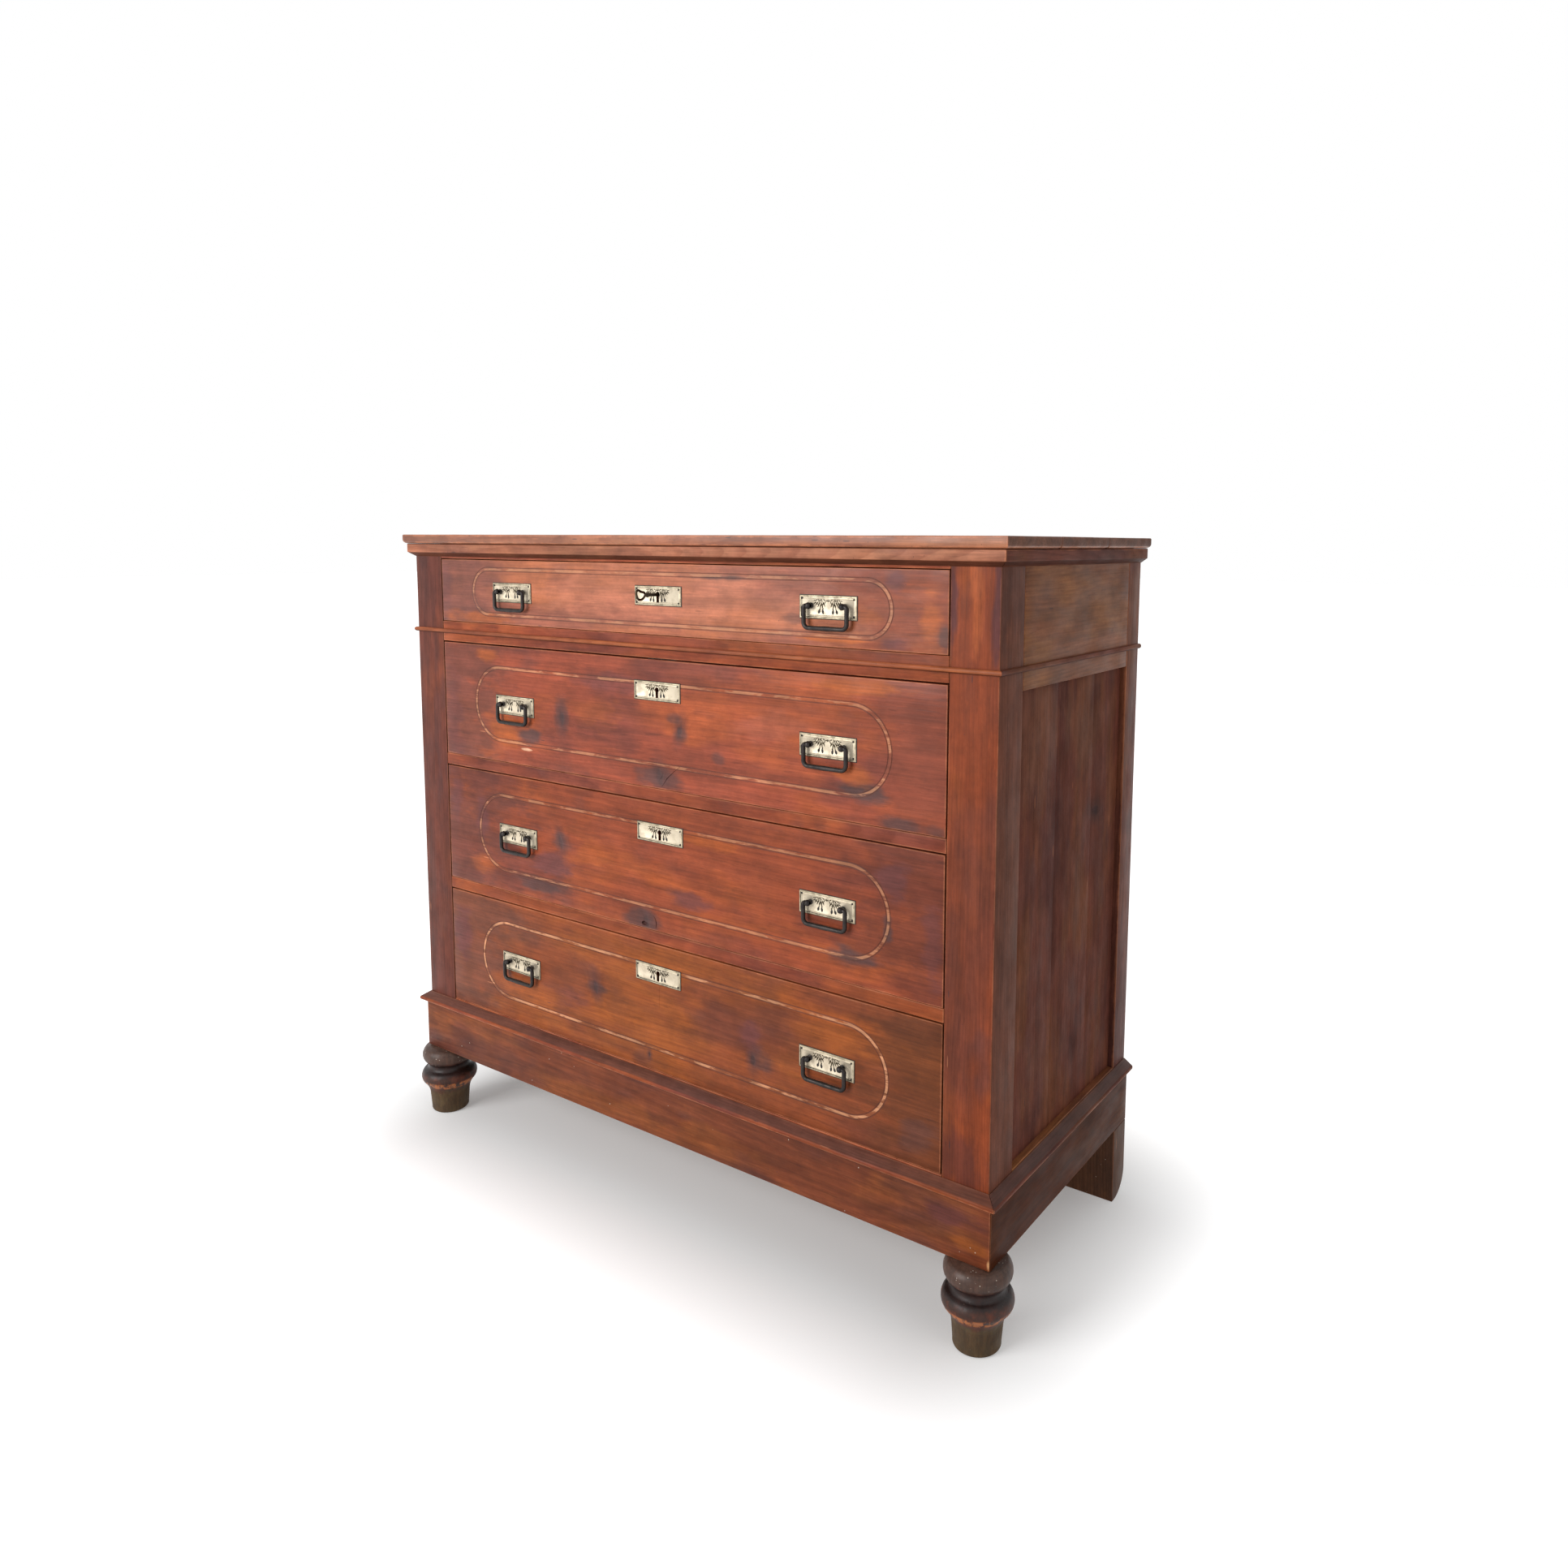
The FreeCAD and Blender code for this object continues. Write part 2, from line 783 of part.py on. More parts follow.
def drawer_box(bottom, top):
    """Two dovetailed sides, a housed back and a bottom slid into grooves."""
    inner = drawer_half_width - side_thickness
    side_top = top - side_drop
    side = box((inner, drawer_half_width), (front_thickness, drawer_depth), (bottom, side_top))
    side_tails = tails((bottom, side_top))
    side = fused(side, *side_tails)
    board_low = bottom + bottom_height
    board_top = board_low + bottom_thickness
    reach = inner + bottom_groove
    board = box(
        (-reach, reach),
        (front_thickness - bottom_groove, drawer_depth),
        (board_low, board_top),
    )
    back_reach = inner + box_back_housing
    inset = 2 * box_back_thickness
    back = box(
        (-back_reach, back_reach),
        (drawer_depth - inset, drawer_depth - inset + box_back_thickness),
        (board_top, side_top - box_back_drop),
    )
    side = side.cut(board).cut(back)
    return [twin(side), side, back, board], side_tails


def drawer(index):
    number = index + 1
    bottom = front_bottom[index]
    top = front_top[index]
    centre_z = (bottom + top) / 2
    name = f"drawer_{number}"

    front = box((-drawer_half_width, drawer_half_width), (0, front_thickness), (bottom, top))
    front = rounded(front, front_round, lambda p: p.y < 0.01)
    pieces, side_tails = drawer_box(bottom, top)
    for tail in side_tails:
        front = front.cut(tail).cut(twin(tail))
    front = front.cut(pieces[-1])
    for ring in scratched_line(index):
        front = front.cut(ring)

    middle = keyhole_place[index]
    key_z = top - keyhole_drop
    lock = lock_case(middle, top)
    half = lock_width / 2
    recess = box(
        (middle - half, middle + half),
        (lock_face, front_thickness + 1),
        (top - lock_height, top + 1),
    )
    through = keyhole(middle, key_z, (-plate_thickness - 1, lock_face))
    front = front.cut(recess).cut(through)

    escutcheon = plate(middle, key_z, escutcheon_width, escutcheon_height).cut(through)
    plates = [escutcheon]
    fixings = pins(middle, key_z, escutcheon_width, escutcheon_height)
    for side, hand in ((-1, "left"), (1, "right")):
        place = side * pull_place
        axis_z = centre_z + eye_rise
        backing = plate(place, centre_z, pull_plate_width, pull_plate_height)
        for x in (place - eye_place, place + eye_place):
            fixings += [eye_stud(x, axis_z), eye_nut(x, axis_z)]
            bore = rod(eye_shank_radius + nut_clearance, V(x, -plate_thickness - 1, axis_z),
                       V(x, front_thickness + 1, axis_z))
            backing = backing.cut(bore)
            front = front.cut(bore)
        plates.append(backing)
        fixings += pins(place, centre_z, pull_plate_width, pull_plate_height)
        save(f"bail_{number}_{hand}", bail(place, axis_z))
    pin_holes = [f for f in fixings if f.BoundBox.YMax < pin_length + 0.01]
    plates = [p.cut(Part.makeCompound(pin_holes)) for p in plates]
    front = front.cut(Part.makeCompound(pin_holes))

    save(f"{name}_front", front)
    save(f"{name}_box", *pieces)
    save(f"{name}_plates", *plates)
    save(f"{name}_studs", *fixings)
    save(f"{name}_lock", lock)
    save(f"{name}_bolt", lock_bolt(middle, top))


os.makedirs("parts", exist_ok=True)
top_boards()
mouldings()
plinth()
feet()
carcass()
drawer_running()
for index in range(drawer_count):
    drawer(index)
save("key", key(keyhole_place[0], key_axis_z))
print("drawer front heights", [round(height, 1) for height in front_height])
print("overall box height", overall_height, "origin is", round(middle_y, 3), "behind the posts' face")
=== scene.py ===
# %% [markdown]
# A stained pine chest of four drawers, finished over its construction model.
#
# The construction model gives every piece at its real size and place. This script
# keeps the pieces that nobody looks at closely, such as runners and back boards,
# and models the visible ones again with worn edges, scratched lines and ornament.
# Each step is a short lesson: what the piece is, how it could be made, and why it
# is made this way. Sizes are metres; X is across the chest, Y runs to the back,
# and Z is up from the floor.

# %% Load the construction model
import math
import random

import bmesh
import bpy
from mathutils import Matrix, Vector


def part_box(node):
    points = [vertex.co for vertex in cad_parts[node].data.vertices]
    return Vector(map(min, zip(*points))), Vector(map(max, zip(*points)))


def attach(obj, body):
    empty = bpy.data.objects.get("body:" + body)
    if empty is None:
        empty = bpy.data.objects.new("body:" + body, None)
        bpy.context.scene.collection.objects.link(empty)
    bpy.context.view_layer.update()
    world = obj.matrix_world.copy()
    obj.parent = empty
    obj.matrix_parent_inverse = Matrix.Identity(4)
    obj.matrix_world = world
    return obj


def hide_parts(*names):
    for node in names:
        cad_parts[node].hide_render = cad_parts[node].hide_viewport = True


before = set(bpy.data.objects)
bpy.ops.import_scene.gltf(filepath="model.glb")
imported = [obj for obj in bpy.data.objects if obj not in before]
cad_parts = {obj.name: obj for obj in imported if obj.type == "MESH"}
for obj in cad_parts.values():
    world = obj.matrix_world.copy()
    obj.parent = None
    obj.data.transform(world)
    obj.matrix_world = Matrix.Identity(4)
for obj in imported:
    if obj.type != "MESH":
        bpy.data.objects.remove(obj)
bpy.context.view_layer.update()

# %% [markdown]
# Blender's own modelling operators act on whatever is selected, as they do under
# the mouse. So the first helpers clear the selection, add a block, disc or bar at its
# place, and select vertices, edges or faces by a test on where they are. A box is
# only ever the start of a piece: its edges are worn, its ends mitred or its face
# cut before it is finished.

# %% Helpers: select and start
MM = 0.001
ALONG_X = (0, math.pi / 2, 0)
ALONG_Y = (math.pi / 2, 0, 0)


def clear_selection():
    """Leaves edit mode and selects nothing."""
    if bpy.context.object and bpy.context.object.mode != "OBJECT":
        bpy.ops.object.mode_set(mode="OBJECT")
    bpy.ops.object.select_all(action="DESELECT")


def activate(piece):
    clear_selection()
    piece.select_set(True)
    bpy.context.view_layer.objects.active = piece


def started(name):
    """Names the primitive just added and writes its place into its mesh."""
    piece = bpy.context.object
    piece.name = piece.data.name = name
    bpy.ops.object.transform_apply(location=True, rotation=True, scale=True)
    return piece


def block(name, low, high):
    """A cube that fills the box between two corners."""
    low, high = Vector(low), Vector(high)
    clear_selection()
    bpy.ops.mesh.primitive_cube_add(size=1, location=(low + high) / 2, scale=high - low)
    return started(name)


def select(kind, test):
    """In edit mode, selects the parts all of whose points pass the test."""
    bpy.ops.mesh.select_all(action="DESELECT")
    bpy.ops.mesh.select_mode(type=kind)
    shape = bmesh.from_edit_mesh(bpy.context.object.data)
    parts = {"VERT": shape.verts, "EDGE": shape.edges, "FACE": shape.faces}[kind]
    for part in parts:
        points = [part.co] if kind == "VERT" else [corner.co for corner in part.verts]
        if all(test(point) for point in points):
            part.select_set(True)
    bmesh.update_edit_mesh(bpy.context.object.data)


def edit():
    bpy.ops.object.mode_set(mode="EDIT")


def close_edit():
    bpy.ops.object.mode_set(mode="OBJECT")


def close_up(weld=0.0):
    """Welds what touches, turns the normals outside and leaves edit mode."""
    bpy.ops.mesh.select_all(action="SELECT")
    if weld:
        bpy.ops.mesh.remove_doubles(threshold=weld)
    bpy.ops.mesh.normals_make_consistent(inside=False)
    close_edit()


def disc(name, points, radius, place, turn=(0, 0, 0)):
    """A filled circle, left in edit mode with everything selected."""
    clear_selection()
    bpy.ops.mesh.primitive_circle_add(
        vertices=points, radius=radius, fill_type="NGON", location=place, rotation=turn)
    made = started(name)
    edit()
    bpy.ops.mesh.select_all(action="SELECT")
    return made


def bar(name, points, radius, length, place, turn):
    """A cylinder about its middle."""
    clear_selection()
    bpy.ops.mesh.primitive_cylinder_add(
        vertices=points, radius=radius, depth=length, location=place, rotation=turn)
    return started(name)


print("helpers ready")

# %% [markdown]
# Modifiers do the work that would be slow by hand. Bevel wears the sharp edges,
# Displace makes a planed surface a little uneven, and Boolean cuts a hole, recess
# or groove with another mesh. Each is applied at once, so that a finished piece is
# plain mesh. Displace only ever moves the surface inwards, so no piece grows out
# of the place that the construction gives it.

# %% Helpers: modifiers
def apply_all(piece):
    activate(piece)
    for modifier in list(piece.modifiers):
        bpy.ops.object.modifier_apply(modifier=modifier.name)
    return piece


def bevel(piece, width, segments=3, angle=40):
    modifier = piece.modifiers.new("worn edges", "BEVEL")
    modifier.width = width
    modifier.segments = segments
    modifier.limit_method = "ANGLE"
    modifier.angle_limit = math.radians(angle)
    modifier.use_clamp_overlap = True
    return apply_all(piece)


planed = bpy.data.textures.new("planed surface", "CLOUDS")
planed.noise_scale = 0.06
planed.noise_depth = 1


def uneven(piece, depth):
    """Sinks the surface by up to `depth`, by a soft cloud pattern."""
    modifier = piece.modifiers.new("planed surface", "DISPLACE")
    modifier.texture = planed
    modifier.texture_coords = "LOCAL"
    modifier.strength = depth
    modifier.mid_level = 1.0
    return apply_all(piece)


def cut(piece, cutter):
    """Takes the cutter's shape out of the piece and throws the cutter away."""
    modifier = piece.modifiers.new("cut", "BOOLEAN")
    modifier.operation = "DIFFERENCE"
    modifier.solver = "EXACT"
    modifier.use_self = True
    modifier.object = cutter
    apply_all(piece)
    bpy.data.objects.remove(cutter)
    return piece


def joined(name, pieces):
    """Several meshes as one object."""
    activate(pieces[0])
    for piece in pieces[1:]:
        piece.select_set(True)
    if len(pieces) > 1:
        bpy.ops.object.join()
    piece = bpy.context.object
    piece.name = piece.data.name = name
    return piece


def smooth(piece, angle=35):
    activate(piece)
    bpy.ops.object.shade_smooth_by_angle(angle=math.radians(angle))
    return piece


def copy_of(piece, name, shift=(0, 0, 0), flip=False):
    """A copy with its own mesh, moved, or mirrored across X first."""
    twin = piece.copy()
    twin.data = piece.data.copy()
    twin.name = twin.data.name = name
    bpy.context.scene.collection.objects.link(twin)
    move = Matrix.Translation(Vector(shift))
    if flip:
        move = move @ Matrix.Diagonal((-1, 1, 1, 1))
    twin.data.transform(move)
    if flip:
        activate(twin)
        edit()
        close_up()
    return twin


def placed(piece, body, slot, *nodes):
    """Says what the piece rides on and the nodes it stands for; its finish, the slot, is not used."""
    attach(piece, body)
    if nodes:
        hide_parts(*nodes)
    return piece


print("modifier helpers ready")

# %% [markdown]
# Shader groups are built from small nodes. These helpers add one node each and
# return its output socket, and any input may be a number, a colour or another
# node's socket. Colours are written as the 0 to 255 values that a paint chart
# would give, and turned into the linear values that the shader works in.

# %% Helpers: shader nodes
def tint(red, green, blue):
    """A linear colour from 0-255 screen values."""
    def linear(value):
        share = value / 255
        return share / 12.92 if share <= 0.04045 else ((share + 0.055) / 1.055) ** 2.4
    return (linear(red), linear(green), linear(blue), 1.0)


def put(tree, socket, value):
    """Links a socket, or sets a plain value."""
    if isinstance(value, bpy.types.NodeSocket):
        tree.links.new(value, socket)
    else:
        socket.default_value = value


def node(tree, kind, inputs=None, **settings):
    made = tree.nodes.new(kind)
    for key, value in settings.items():
        setattr(made, key, value)
    for key, value in (inputs or {}).items():
        put(tree, made.inputs[key], value)
    return made


def sum_of(tree, *values, operation="ADD"):
    """Plain arithmetic on numbers, one node for each step."""
    total = values[0]
    for value in values[1:]:
        total = maths(tree, operation, total, value)
    return total


def product(tree, *values):
    return sum_of(tree, *values, operation="MULTIPLY")


def either_way(tree, noise, *amounts):
    """Noise centred on nothing, times its amounts."""
    return product(tree, sum_of(tree, noise, -0.5), *amounts)


def maths(tree, operation, *values):
    return node(tree, "ShaderNodeMath", dict(enumerate(values)), operation=operation).outputs[0]


def vectors(tree, operation, *values, output=0):
    made = node(tree, "ShaderNodeVectorMath", dict(enumerate(values)), operation=operation)
    return made.outputs[output]


def stretched(tree, vector, scale):
    return vectors(tree, "MULTIPLY", vector, scale)


def fade(tree, value, start, end, low=0.0, high=1.0):
    """Low before start, high after end, and smooth between."""
    inputs = {"Value": value, "From Min": start, "From Max": end, "To Min": low, "To Max": high}
    return node(tree, "ShaderNodeMapRange", inputs, interpolation_type="SMOOTHSTEP").outputs[0]


def cloud(tree, vector, stretch, seed, detail=2.0, roughness=0.5, colour=False):
    """Soft noise; its seed gives each board a pattern of its own."""
    if stretch:
        vector = stretched(tree, vector, stretch)
    inputs = {"Vector": vector, "W": seed, "Scale": 1.0, "Detail": detail, "Roughness": roughness}
    made = node(tree, "ShaderNodeTexNoise", inputs, noise_dimensions="4D")
    return made.outputs["Color" if colour else 0]


def blend_colour(tree, share, first, second, mode="MIX"):
    made = node(tree, "ShaderNodeMix", data_type="RGBA", blend_type=mode)
    put(tree, made.inputs["Factor"], share)
    put(tree, made.inputs[6], first)
    put(tree, made.inputs[7], second)
    return made.outputs[2]


def parts_of(tree, vector):
    return node(tree, "ShaderNodeSeparateXYZ", {0: vector}).outputs


SOCKETS = {1: "NodeSocketFloat", 3: "NodeSocketVector", 4: "NodeSocketColor"}


def new_group(name, inputs, outputs):
    """An empty group. One, three or four numbers make a number, vector or colour."""
    tree = bpy.data.node_groups.new(name, "ShaderNodeTree")
    for label, value in inputs.items():
        size = len(value) if isinstance(value, tuple) else 1
        socket = tree.interface.new_socket(label, in_out="INPUT", socket_type=SOCKETS[size])
        socket.default_value = value
    for label in outputs:
        size = 4 if label == "Color" else 1
        tree.interface.new_socket(label, in_out="OUTPUT", socket_type=SOCKETS[size])
    entry = tree.nodes.new("NodeGroupInput").outputs
    result = tree.nodes.new("NodeGroupOutput").inputs
    return tree, entry, result


def use(tree, group, **values):
    """Places a group in a tree; underscores in names stand for spaces."""
    made = node(tree, "ShaderNodeGroup", node_tree=group)
    for key, value in values.items():
        put(tree, made.inputs[key.replace("_", " ")], value)
    return made.outputs


def new_material(name):
    """A material, its tree and the sockets of its Principled shader."""
    material = bpy.data.materials.new(name)
    material.use_nodes = True
    tree = material.node_tree
    return material, tree, tree.nodes["Principled BSDF"].inputs


def relief(tree, shader, height):
    """Bumps, from a height in metres."""
    bump = node(tree, "ShaderNodeBump", {"Height": height, "Distance": 1.0})
    put(tree, shader["Normal"], bump.outputs[0])


def coat_with(piece, material):
    piece.data.materials.clear()
    piece.data.materials.append(material)
    return piece


print("shader helpers ready")

# %% [markdown]
# Pine shows its growth rings as long lines, and where the saw ran near the heart
# of the tree they close into pointed arches. An image of wood could be projected
# on, but it would stretch round edges and repeat. Here the rings are worked out:
# the distance from a pith that lies behind the board's face, swaying slowly along
# its length, is divided by the ring width. Each ring is pale at first and dark at
# its end. A second, much finer noise stretched along the grain gives the fibres.

# %% Group: pine figure
figure, entry, result = new_group("Pine figure", {
    "Vector": (0, 0, 0),
    "Seed": 0.0,
    "Pith": 0.03,
    "Lean": 0.03,
    "Sway": 0.06,
    "Ring Width": 0.004,
    "Push": 0.0,
}, ["Rings", "Fibre"])
place = parts_of(figure, entry["Vector"])
slow = parts_of(figure, cloud(figure, entry["Vector"], (1.4, 3.0, 3.0), entry["Seed"], 1.5, colour=True))
ripple = cloud(figure, entry["Vector"], (9, 45, 45), entry["Seed"])
aside = sum_of(figure, place[1], either_way(figure, slow[0], entry["Sway"]))
behind = sum_of(
    figure,
    entry["Pith"],
    place[2],
    product(figure, place[0], entry["Lean"]),
    either_way(figure, slow[1], entry["Sway"]),
    entry["Push"],
)
squares = sum_of(figure, product(figure, aside, aside), product(figure, behind, behind))
radius = maths(figure, "SQRT", squares)
count = sum_of(
    figure,
    maths(figure, "DIVIDE", radius, entry["Ring Width"]),
    either_way(figure, ripple, 0.9),
)
season = maths(figure, "FRACT", count)
rise = fade(figure, season, 0.25, 0.88)
fall = fade(figure, season, 0.92, 1.0, 1.0, 0.0)
put(figure, result["Rings"], product(figure, rise, fall))
fine = cloud(figure, entry["Vector"], (14, 420, 420), entry["Seed"], 3.0, 0.6)
put(figure, result["Fibre"], fine)
print("pine figure:", len(figure.nodes), "nodes")

# %% [markdown]
# A knot is the root of a branch. It is a dark oval, the grain bends round it, and
# stain soaks into it more than into the wood beside it. The group measures how
# far a point is from the knot and gives three things: how much the rings are
# pushed aside, the dark core, and the wider smudge of stain round it.

# %% Group: knot
knot, entry, result = new_group(
    "Knot",
    {"Vector": (0, 0, 0), "Place": (0, 0, 0), "Size": 0.008, "Slant": 0.0},
    ["Push", "Core", "Smudge"],
)
away = parts_of(knot, vectors(knot, "SUBTRACT", entry["Vector"], entry["Place"]))
across = sum_of(knot, away[1], product(knot, away[0], entry["Slant"]))
flat = node(knot, "ShaderNodeCombineXYZ", {0: away[0], 1: product(knot, across, 0.55)}).outputs[0]
rough_edge = cloud(knot, entry["Vector"], (160, 120, 120), 3.0)
reach = vectors(knot, "LENGTH", flat, output=1)
reach = sum_of(knot, reach, either_way(knot, rough_edge, entry["Size"], 0.9))
size = entry["Size"]
wide = product(knot, size, 4.5)
bent = fade(knot, reach, 0.0, wide, 1.0, 0.0)
put(knot, result["Push"], product(knot, bent, size, 1.8))
put(knot, result["Core"], fade(knot, reach, product(knot, size, 0.35), size, 1.0, 0.0))
smudge = fade(knot, reach, product(knot, size, 0.6), product(knot, size, 3.0), 1.0, 0.0)
put(knot, result["Smudge"], smudge)
print("knot:", len(knot.nodes), "nodes")

# %% [markdown]
# The stain went on by brush and was rubbed back by years of use, so the colour is
# patchy: brick red, warm orange where it has thinned, and a mauve brown with grey
# clouds where it lies thick or has bloomed. One colour with noise would look like
# paint. The group lays four named colours over each other by their own clouds, and
# then darkens them by the rings and the fibres.

# %% Group: rubbed stain
RING_SHADE = tint(178, 140, 128)
stain, entry, result = new_group("Rubbed stain", {
    "Vector": (0, 0, 0),
    "Seed": 0.0,
    "Rings": 0.0,
    "Fibre": 0.5,
    "Body": tint(150, 80, 54),
    "Thin": tint(176, 98, 52),
    "Thick": tint(116, 64, 58),
    "Cloudy": tint(84, 58, 58),
    "Thin Share": 0.7,
    "Thick Share": 0.7,
    "Cloudy Share": 0.5,
    "Ring Depth": 0.35,
}, ["Color", "Streaks", "Thickness"])
seed = entry["Seed"]
thin = cloud(stain, entry["Vector"], (5, 13, 13), sum_of(stain, seed, 11.0), 3.0, 0.55)
thick = cloud(stain, entry["Vector"], (4, 9, 9), sum_of(stain, seed, 23.0), 3.0, 0.6)
clouds = cloud(stain, entry["Vector"], (9, 16, 16), sum_of(stain, seed, 37.0), 2.0)
thin = product(stain, fade(stain, thin, 0.46, 0.62), entry["Thin Share"])
thick = product(stain, fade(stain, thick, 0.48, 0.64), entry["Thick Share"])
clouds = product(stain, fade(stain, clouds, 0.60, 0.74), entry["Cloudy Share"])
colour = blend_colour(stain, thin, entry["Body"], entry["Thin"])
colour = blend_colour(stain, thick, colour, entry["Thick"])
colour = blend_colour(stain, clouds, colour, entry["Cloudy"])
dark_rings = product(stain, entry["Rings"], entry["Ring Depth"])
colour = blend_colour(stain, dark_rings, colour, RING_SHADE, mode="MULTIPLY")
drawn = cloud(stain, entry["Vector"], (3.5, 60, 60), sum_of(stain, seed, 51.0), 3.0, 0.6)
drawn = fade(stain, drawn, 0.34, 0.66, 0.82, 1.14)
blotch = cloud(stain, entry["Vector"], (24, 34, 34), sum_of(stain, seed, 67.0), 4.0, 0.7)
blotch = fade(stain, blotch, 0.32, 0.68, 0.82, 1.14)
scuffs = cloud(stain, entry["Vector"], (26, 230, 230), sum_of(stain, seed, 83.0), 2.0, 0.6)
dark_scuffs = fade(stain, scuffs, 0.30, 0.38, 0.80, 1.0)
pale_scuffs = fade(stain, scuffs, 0.60, 0.68, 1.0, 1.16)
fibres = fade(stain, entry["Fibre"], 0.30, 0.70, 0.86, 1.12)
streaks = product(stain, blotch, fibres, drawn, product(stain, dark_scuffs, pale_scuffs))
put(stain, result["Color"], colour)
put(stain, result["Streaks"], streaks)
put(stain, result["Thickness"], maths(stain, "MAXIMUM", thick, clouds))
print("rubbed stain:", len(stain.nodes), "nodes")

# %% [markdown]
# Edges lose their stain first. Cycles can find edges by itself, but the result
# can't be carried out of Blender, so the group is told the low and high corner of
# the piece. On the surface one of the three distances to the box's sides is
# nothing; the next larger one is the distance to the nearest edge.

# %% Group: worn edge
worn, entry, result = new_group(
    "Worn edge",
    {"Vector": (0, 0, 0), "Low": (0, 0, 0), "High": (1, 1, 1), "Width": 0.003, "Seed": 0.0},
    ["Wear"],
)
to_low = vectors(worn, "ABSOLUTE", vectors(worn, "SUBTRACT", entry["Vector"], entry["Low"]))
to_high = vectors(worn, "ABSOLUTE", vectors(worn, "SUBTRACT", entry["High"], entry["Vector"]))
near = parts_of(worn, vectors(worn, "MINIMUM", to_low, to_high))
least = maths(worn, "MINIMUM", near[0], near[1])
most = maths(worn, "MAXIMUM", near[0], near[1])
edge = maths(worn, "MAXIMUM", least, maths(worn, "MINIMUM", most, near[2]))
patchy = cloud(worn, entry["Vector"], (28, 28, 28), entry["Seed"], 4.0, 0.65)
gap = product(worn, entry["Width"], fade(worn, patchy, 0.32, 0.62, 0.35, 1.5))
put(worn, result["Wear"], fade(worn, edge, product(worn, gap, 0.3), gap, 1.0, 0.0))
print("worn edge:", len(worn.nodes), "nodes")

# %% [markdown]
# Each drawer front has a round-ended line scratched into it. Its two grooves are
# real geometry, and the flat bead between them has lost its stain. The group gives
# the distance to a round-ended outline, which is the distance to a line shortened
# by the radius, less the radius, and marks the bead and its two dark grooves.

# %% Group: scratched line
scratch, entry, result = new_group("Scratched line", {
    "Vector": (0, 0, 0),
    "Half Length": 0.4,
    "Radius": 0.06,
    "Width": 0.006,
    "Groove": 0.0013,
    "Seed": 0.0,
}, ["Bead", "Grooves"])
place = parts_of(scratch, entry["Vector"])
run = maths(scratch, "SUBTRACT", entry["Half Length"], entry["Radius"])
past = maths(scratch, "SUBTRACT", maths(scratch, "ABSOLUTE", place[0]), run)
past = maths(scratch, "MAXIMUM", past, 0.0)
from_line = node(scratch, "ShaderNodeCombineXYZ", {0: past, 1: place[1]}).outputs[0]
reach = vectors(scratch, "LENGTH", from_line, output=1)
outside = maths(scratch, "SUBTRACT", reach, entry["Radius"])
half = product(scratch, entry["Width"], 0.5)
off_middle = maths(scratch, "ABSOLUTE", sum_of(scratch, outside, half))
bead_edge = maths(scratch, "SUBTRACT", half, entry["Groove"])
patchy = cloud(scratch, entry["Vector"], (24, 110, 110), entry["Seed"], 3.0, 0.65)
kept = fade(scratch, patchy, 0.44, 0.54, 0.10, 1.0)
inner, outer = product(scratch, bead_edge, 0.75), sum_of(scratch, bead_edge, 0.0004)
bead = fade(scratch, off_middle, inner, outer, 1.0, 0.0)
put(scratch, result["Bead"], product(scratch, bead, kept))
in_line = fade(scratch, off_middle, half, sum_of(scratch, half, 0.0006), 1.0, 0.0)
put(scratch, result["Grooves"], product(scratch, in_line, maths(scratch, "SUBTRACT", 1.0, bead)))
print("scratched line:", len(scratch.nodes), "nodes")

# %% [markdown]
# Some patches have their own place: a grey smudge where a hand always took hold, an
# orange spot rubbed bare, a streak left by a drip. Noise at random would never put
# them there, so this group takes a place and a reach, and only its ragged edge is
# left to noise.

# %% Group: patch
patch, entry, result = new_group(
    "Patch",
    {"Vector": (0, 0, 0), "Place": (0, 0, 0), "Share": (10, 10, 0), "Seed": 0.0},
    ["Mask"],
)
away = vectors(patch, "SUBTRACT", entry["Vector"], entry["Place"])
reach = vectors(patch, "LENGTH", vectors(patch, "MULTIPLY", away, entry["Share"]), output=1)
ragged = cloud(patch, entry["Vector"], (16, 42, 42), entry["Seed"], 3.0, 0.6)
reach = sum_of(patch, reach, either_way(patch, ragged, 2.2))
put(patch, result["Mask"], fade(patch, reach, 0.35, 1.05, 1.0, 0.0))
print("patch:", len(patch.nodes), "nodes")

# %% [markdown]
# Specks of paint and dust sit where a brush or a damp cloth went past: round the
# feet and the plinth's corner. A cell pattern gives one spot for each cell, and a
# noise decides which of them are there.

# %% Group: specks
specks, entry, result = new_group(
    "Specks",
    {"Vector": (0, 0, 0), "Scale": 140.0, "Size": 0.12, "Amount": 0.3},
    ["Mask"],
)
cells = node(specks, "ShaderNodeTexVoronoi", {"Vector": entry["Vector"], "Scale": entry["Scale"]})
chosen = parts_of(specks, cells.outputs["Color"])[0]
core = product(specks, entry["Size"], 0.6)
spot = fade(specks, cells.outputs["Distance"], core, entry["Size"], 1.0, 0.0)
here = maths(specks, "LESS_THAN", chosen, entry["Amount"])
put(specks, result["Mask"], product(specks, spot, here))
print("specks:", len(specks.nodes), "nodes")

# %% [markdown]
# A board's material puts the groups together. Mapping turns the pattern so that
# its first axis runs along the grain, and centres it on the board, which lets a
# knot be placed at its real spot. The surface itself, with its wax coat, stays
# outside the groups. Bump heights are in metres: a hand plane leaves hollows of a
# few tenths of a millimetre, and the fibres are far finer.

# %% Stained pine
AXES = {"x": Vector((1, 0, 0)), "y": Vector((0, 1, 0)), "z": Vector((0, 0, 1))}
KNOT_CORE = tint(66, 46, 46)
WORN_WOOD = tint(196, 124, 88)
# Painted shade: the colour laid into the scratched line's two grooves.
GROOVE_SHADE = tint(92, 50, 38)
LINE_WOOD = tint(206, 144, 106)
PALE_SPECK = tint(214, 200, 184)
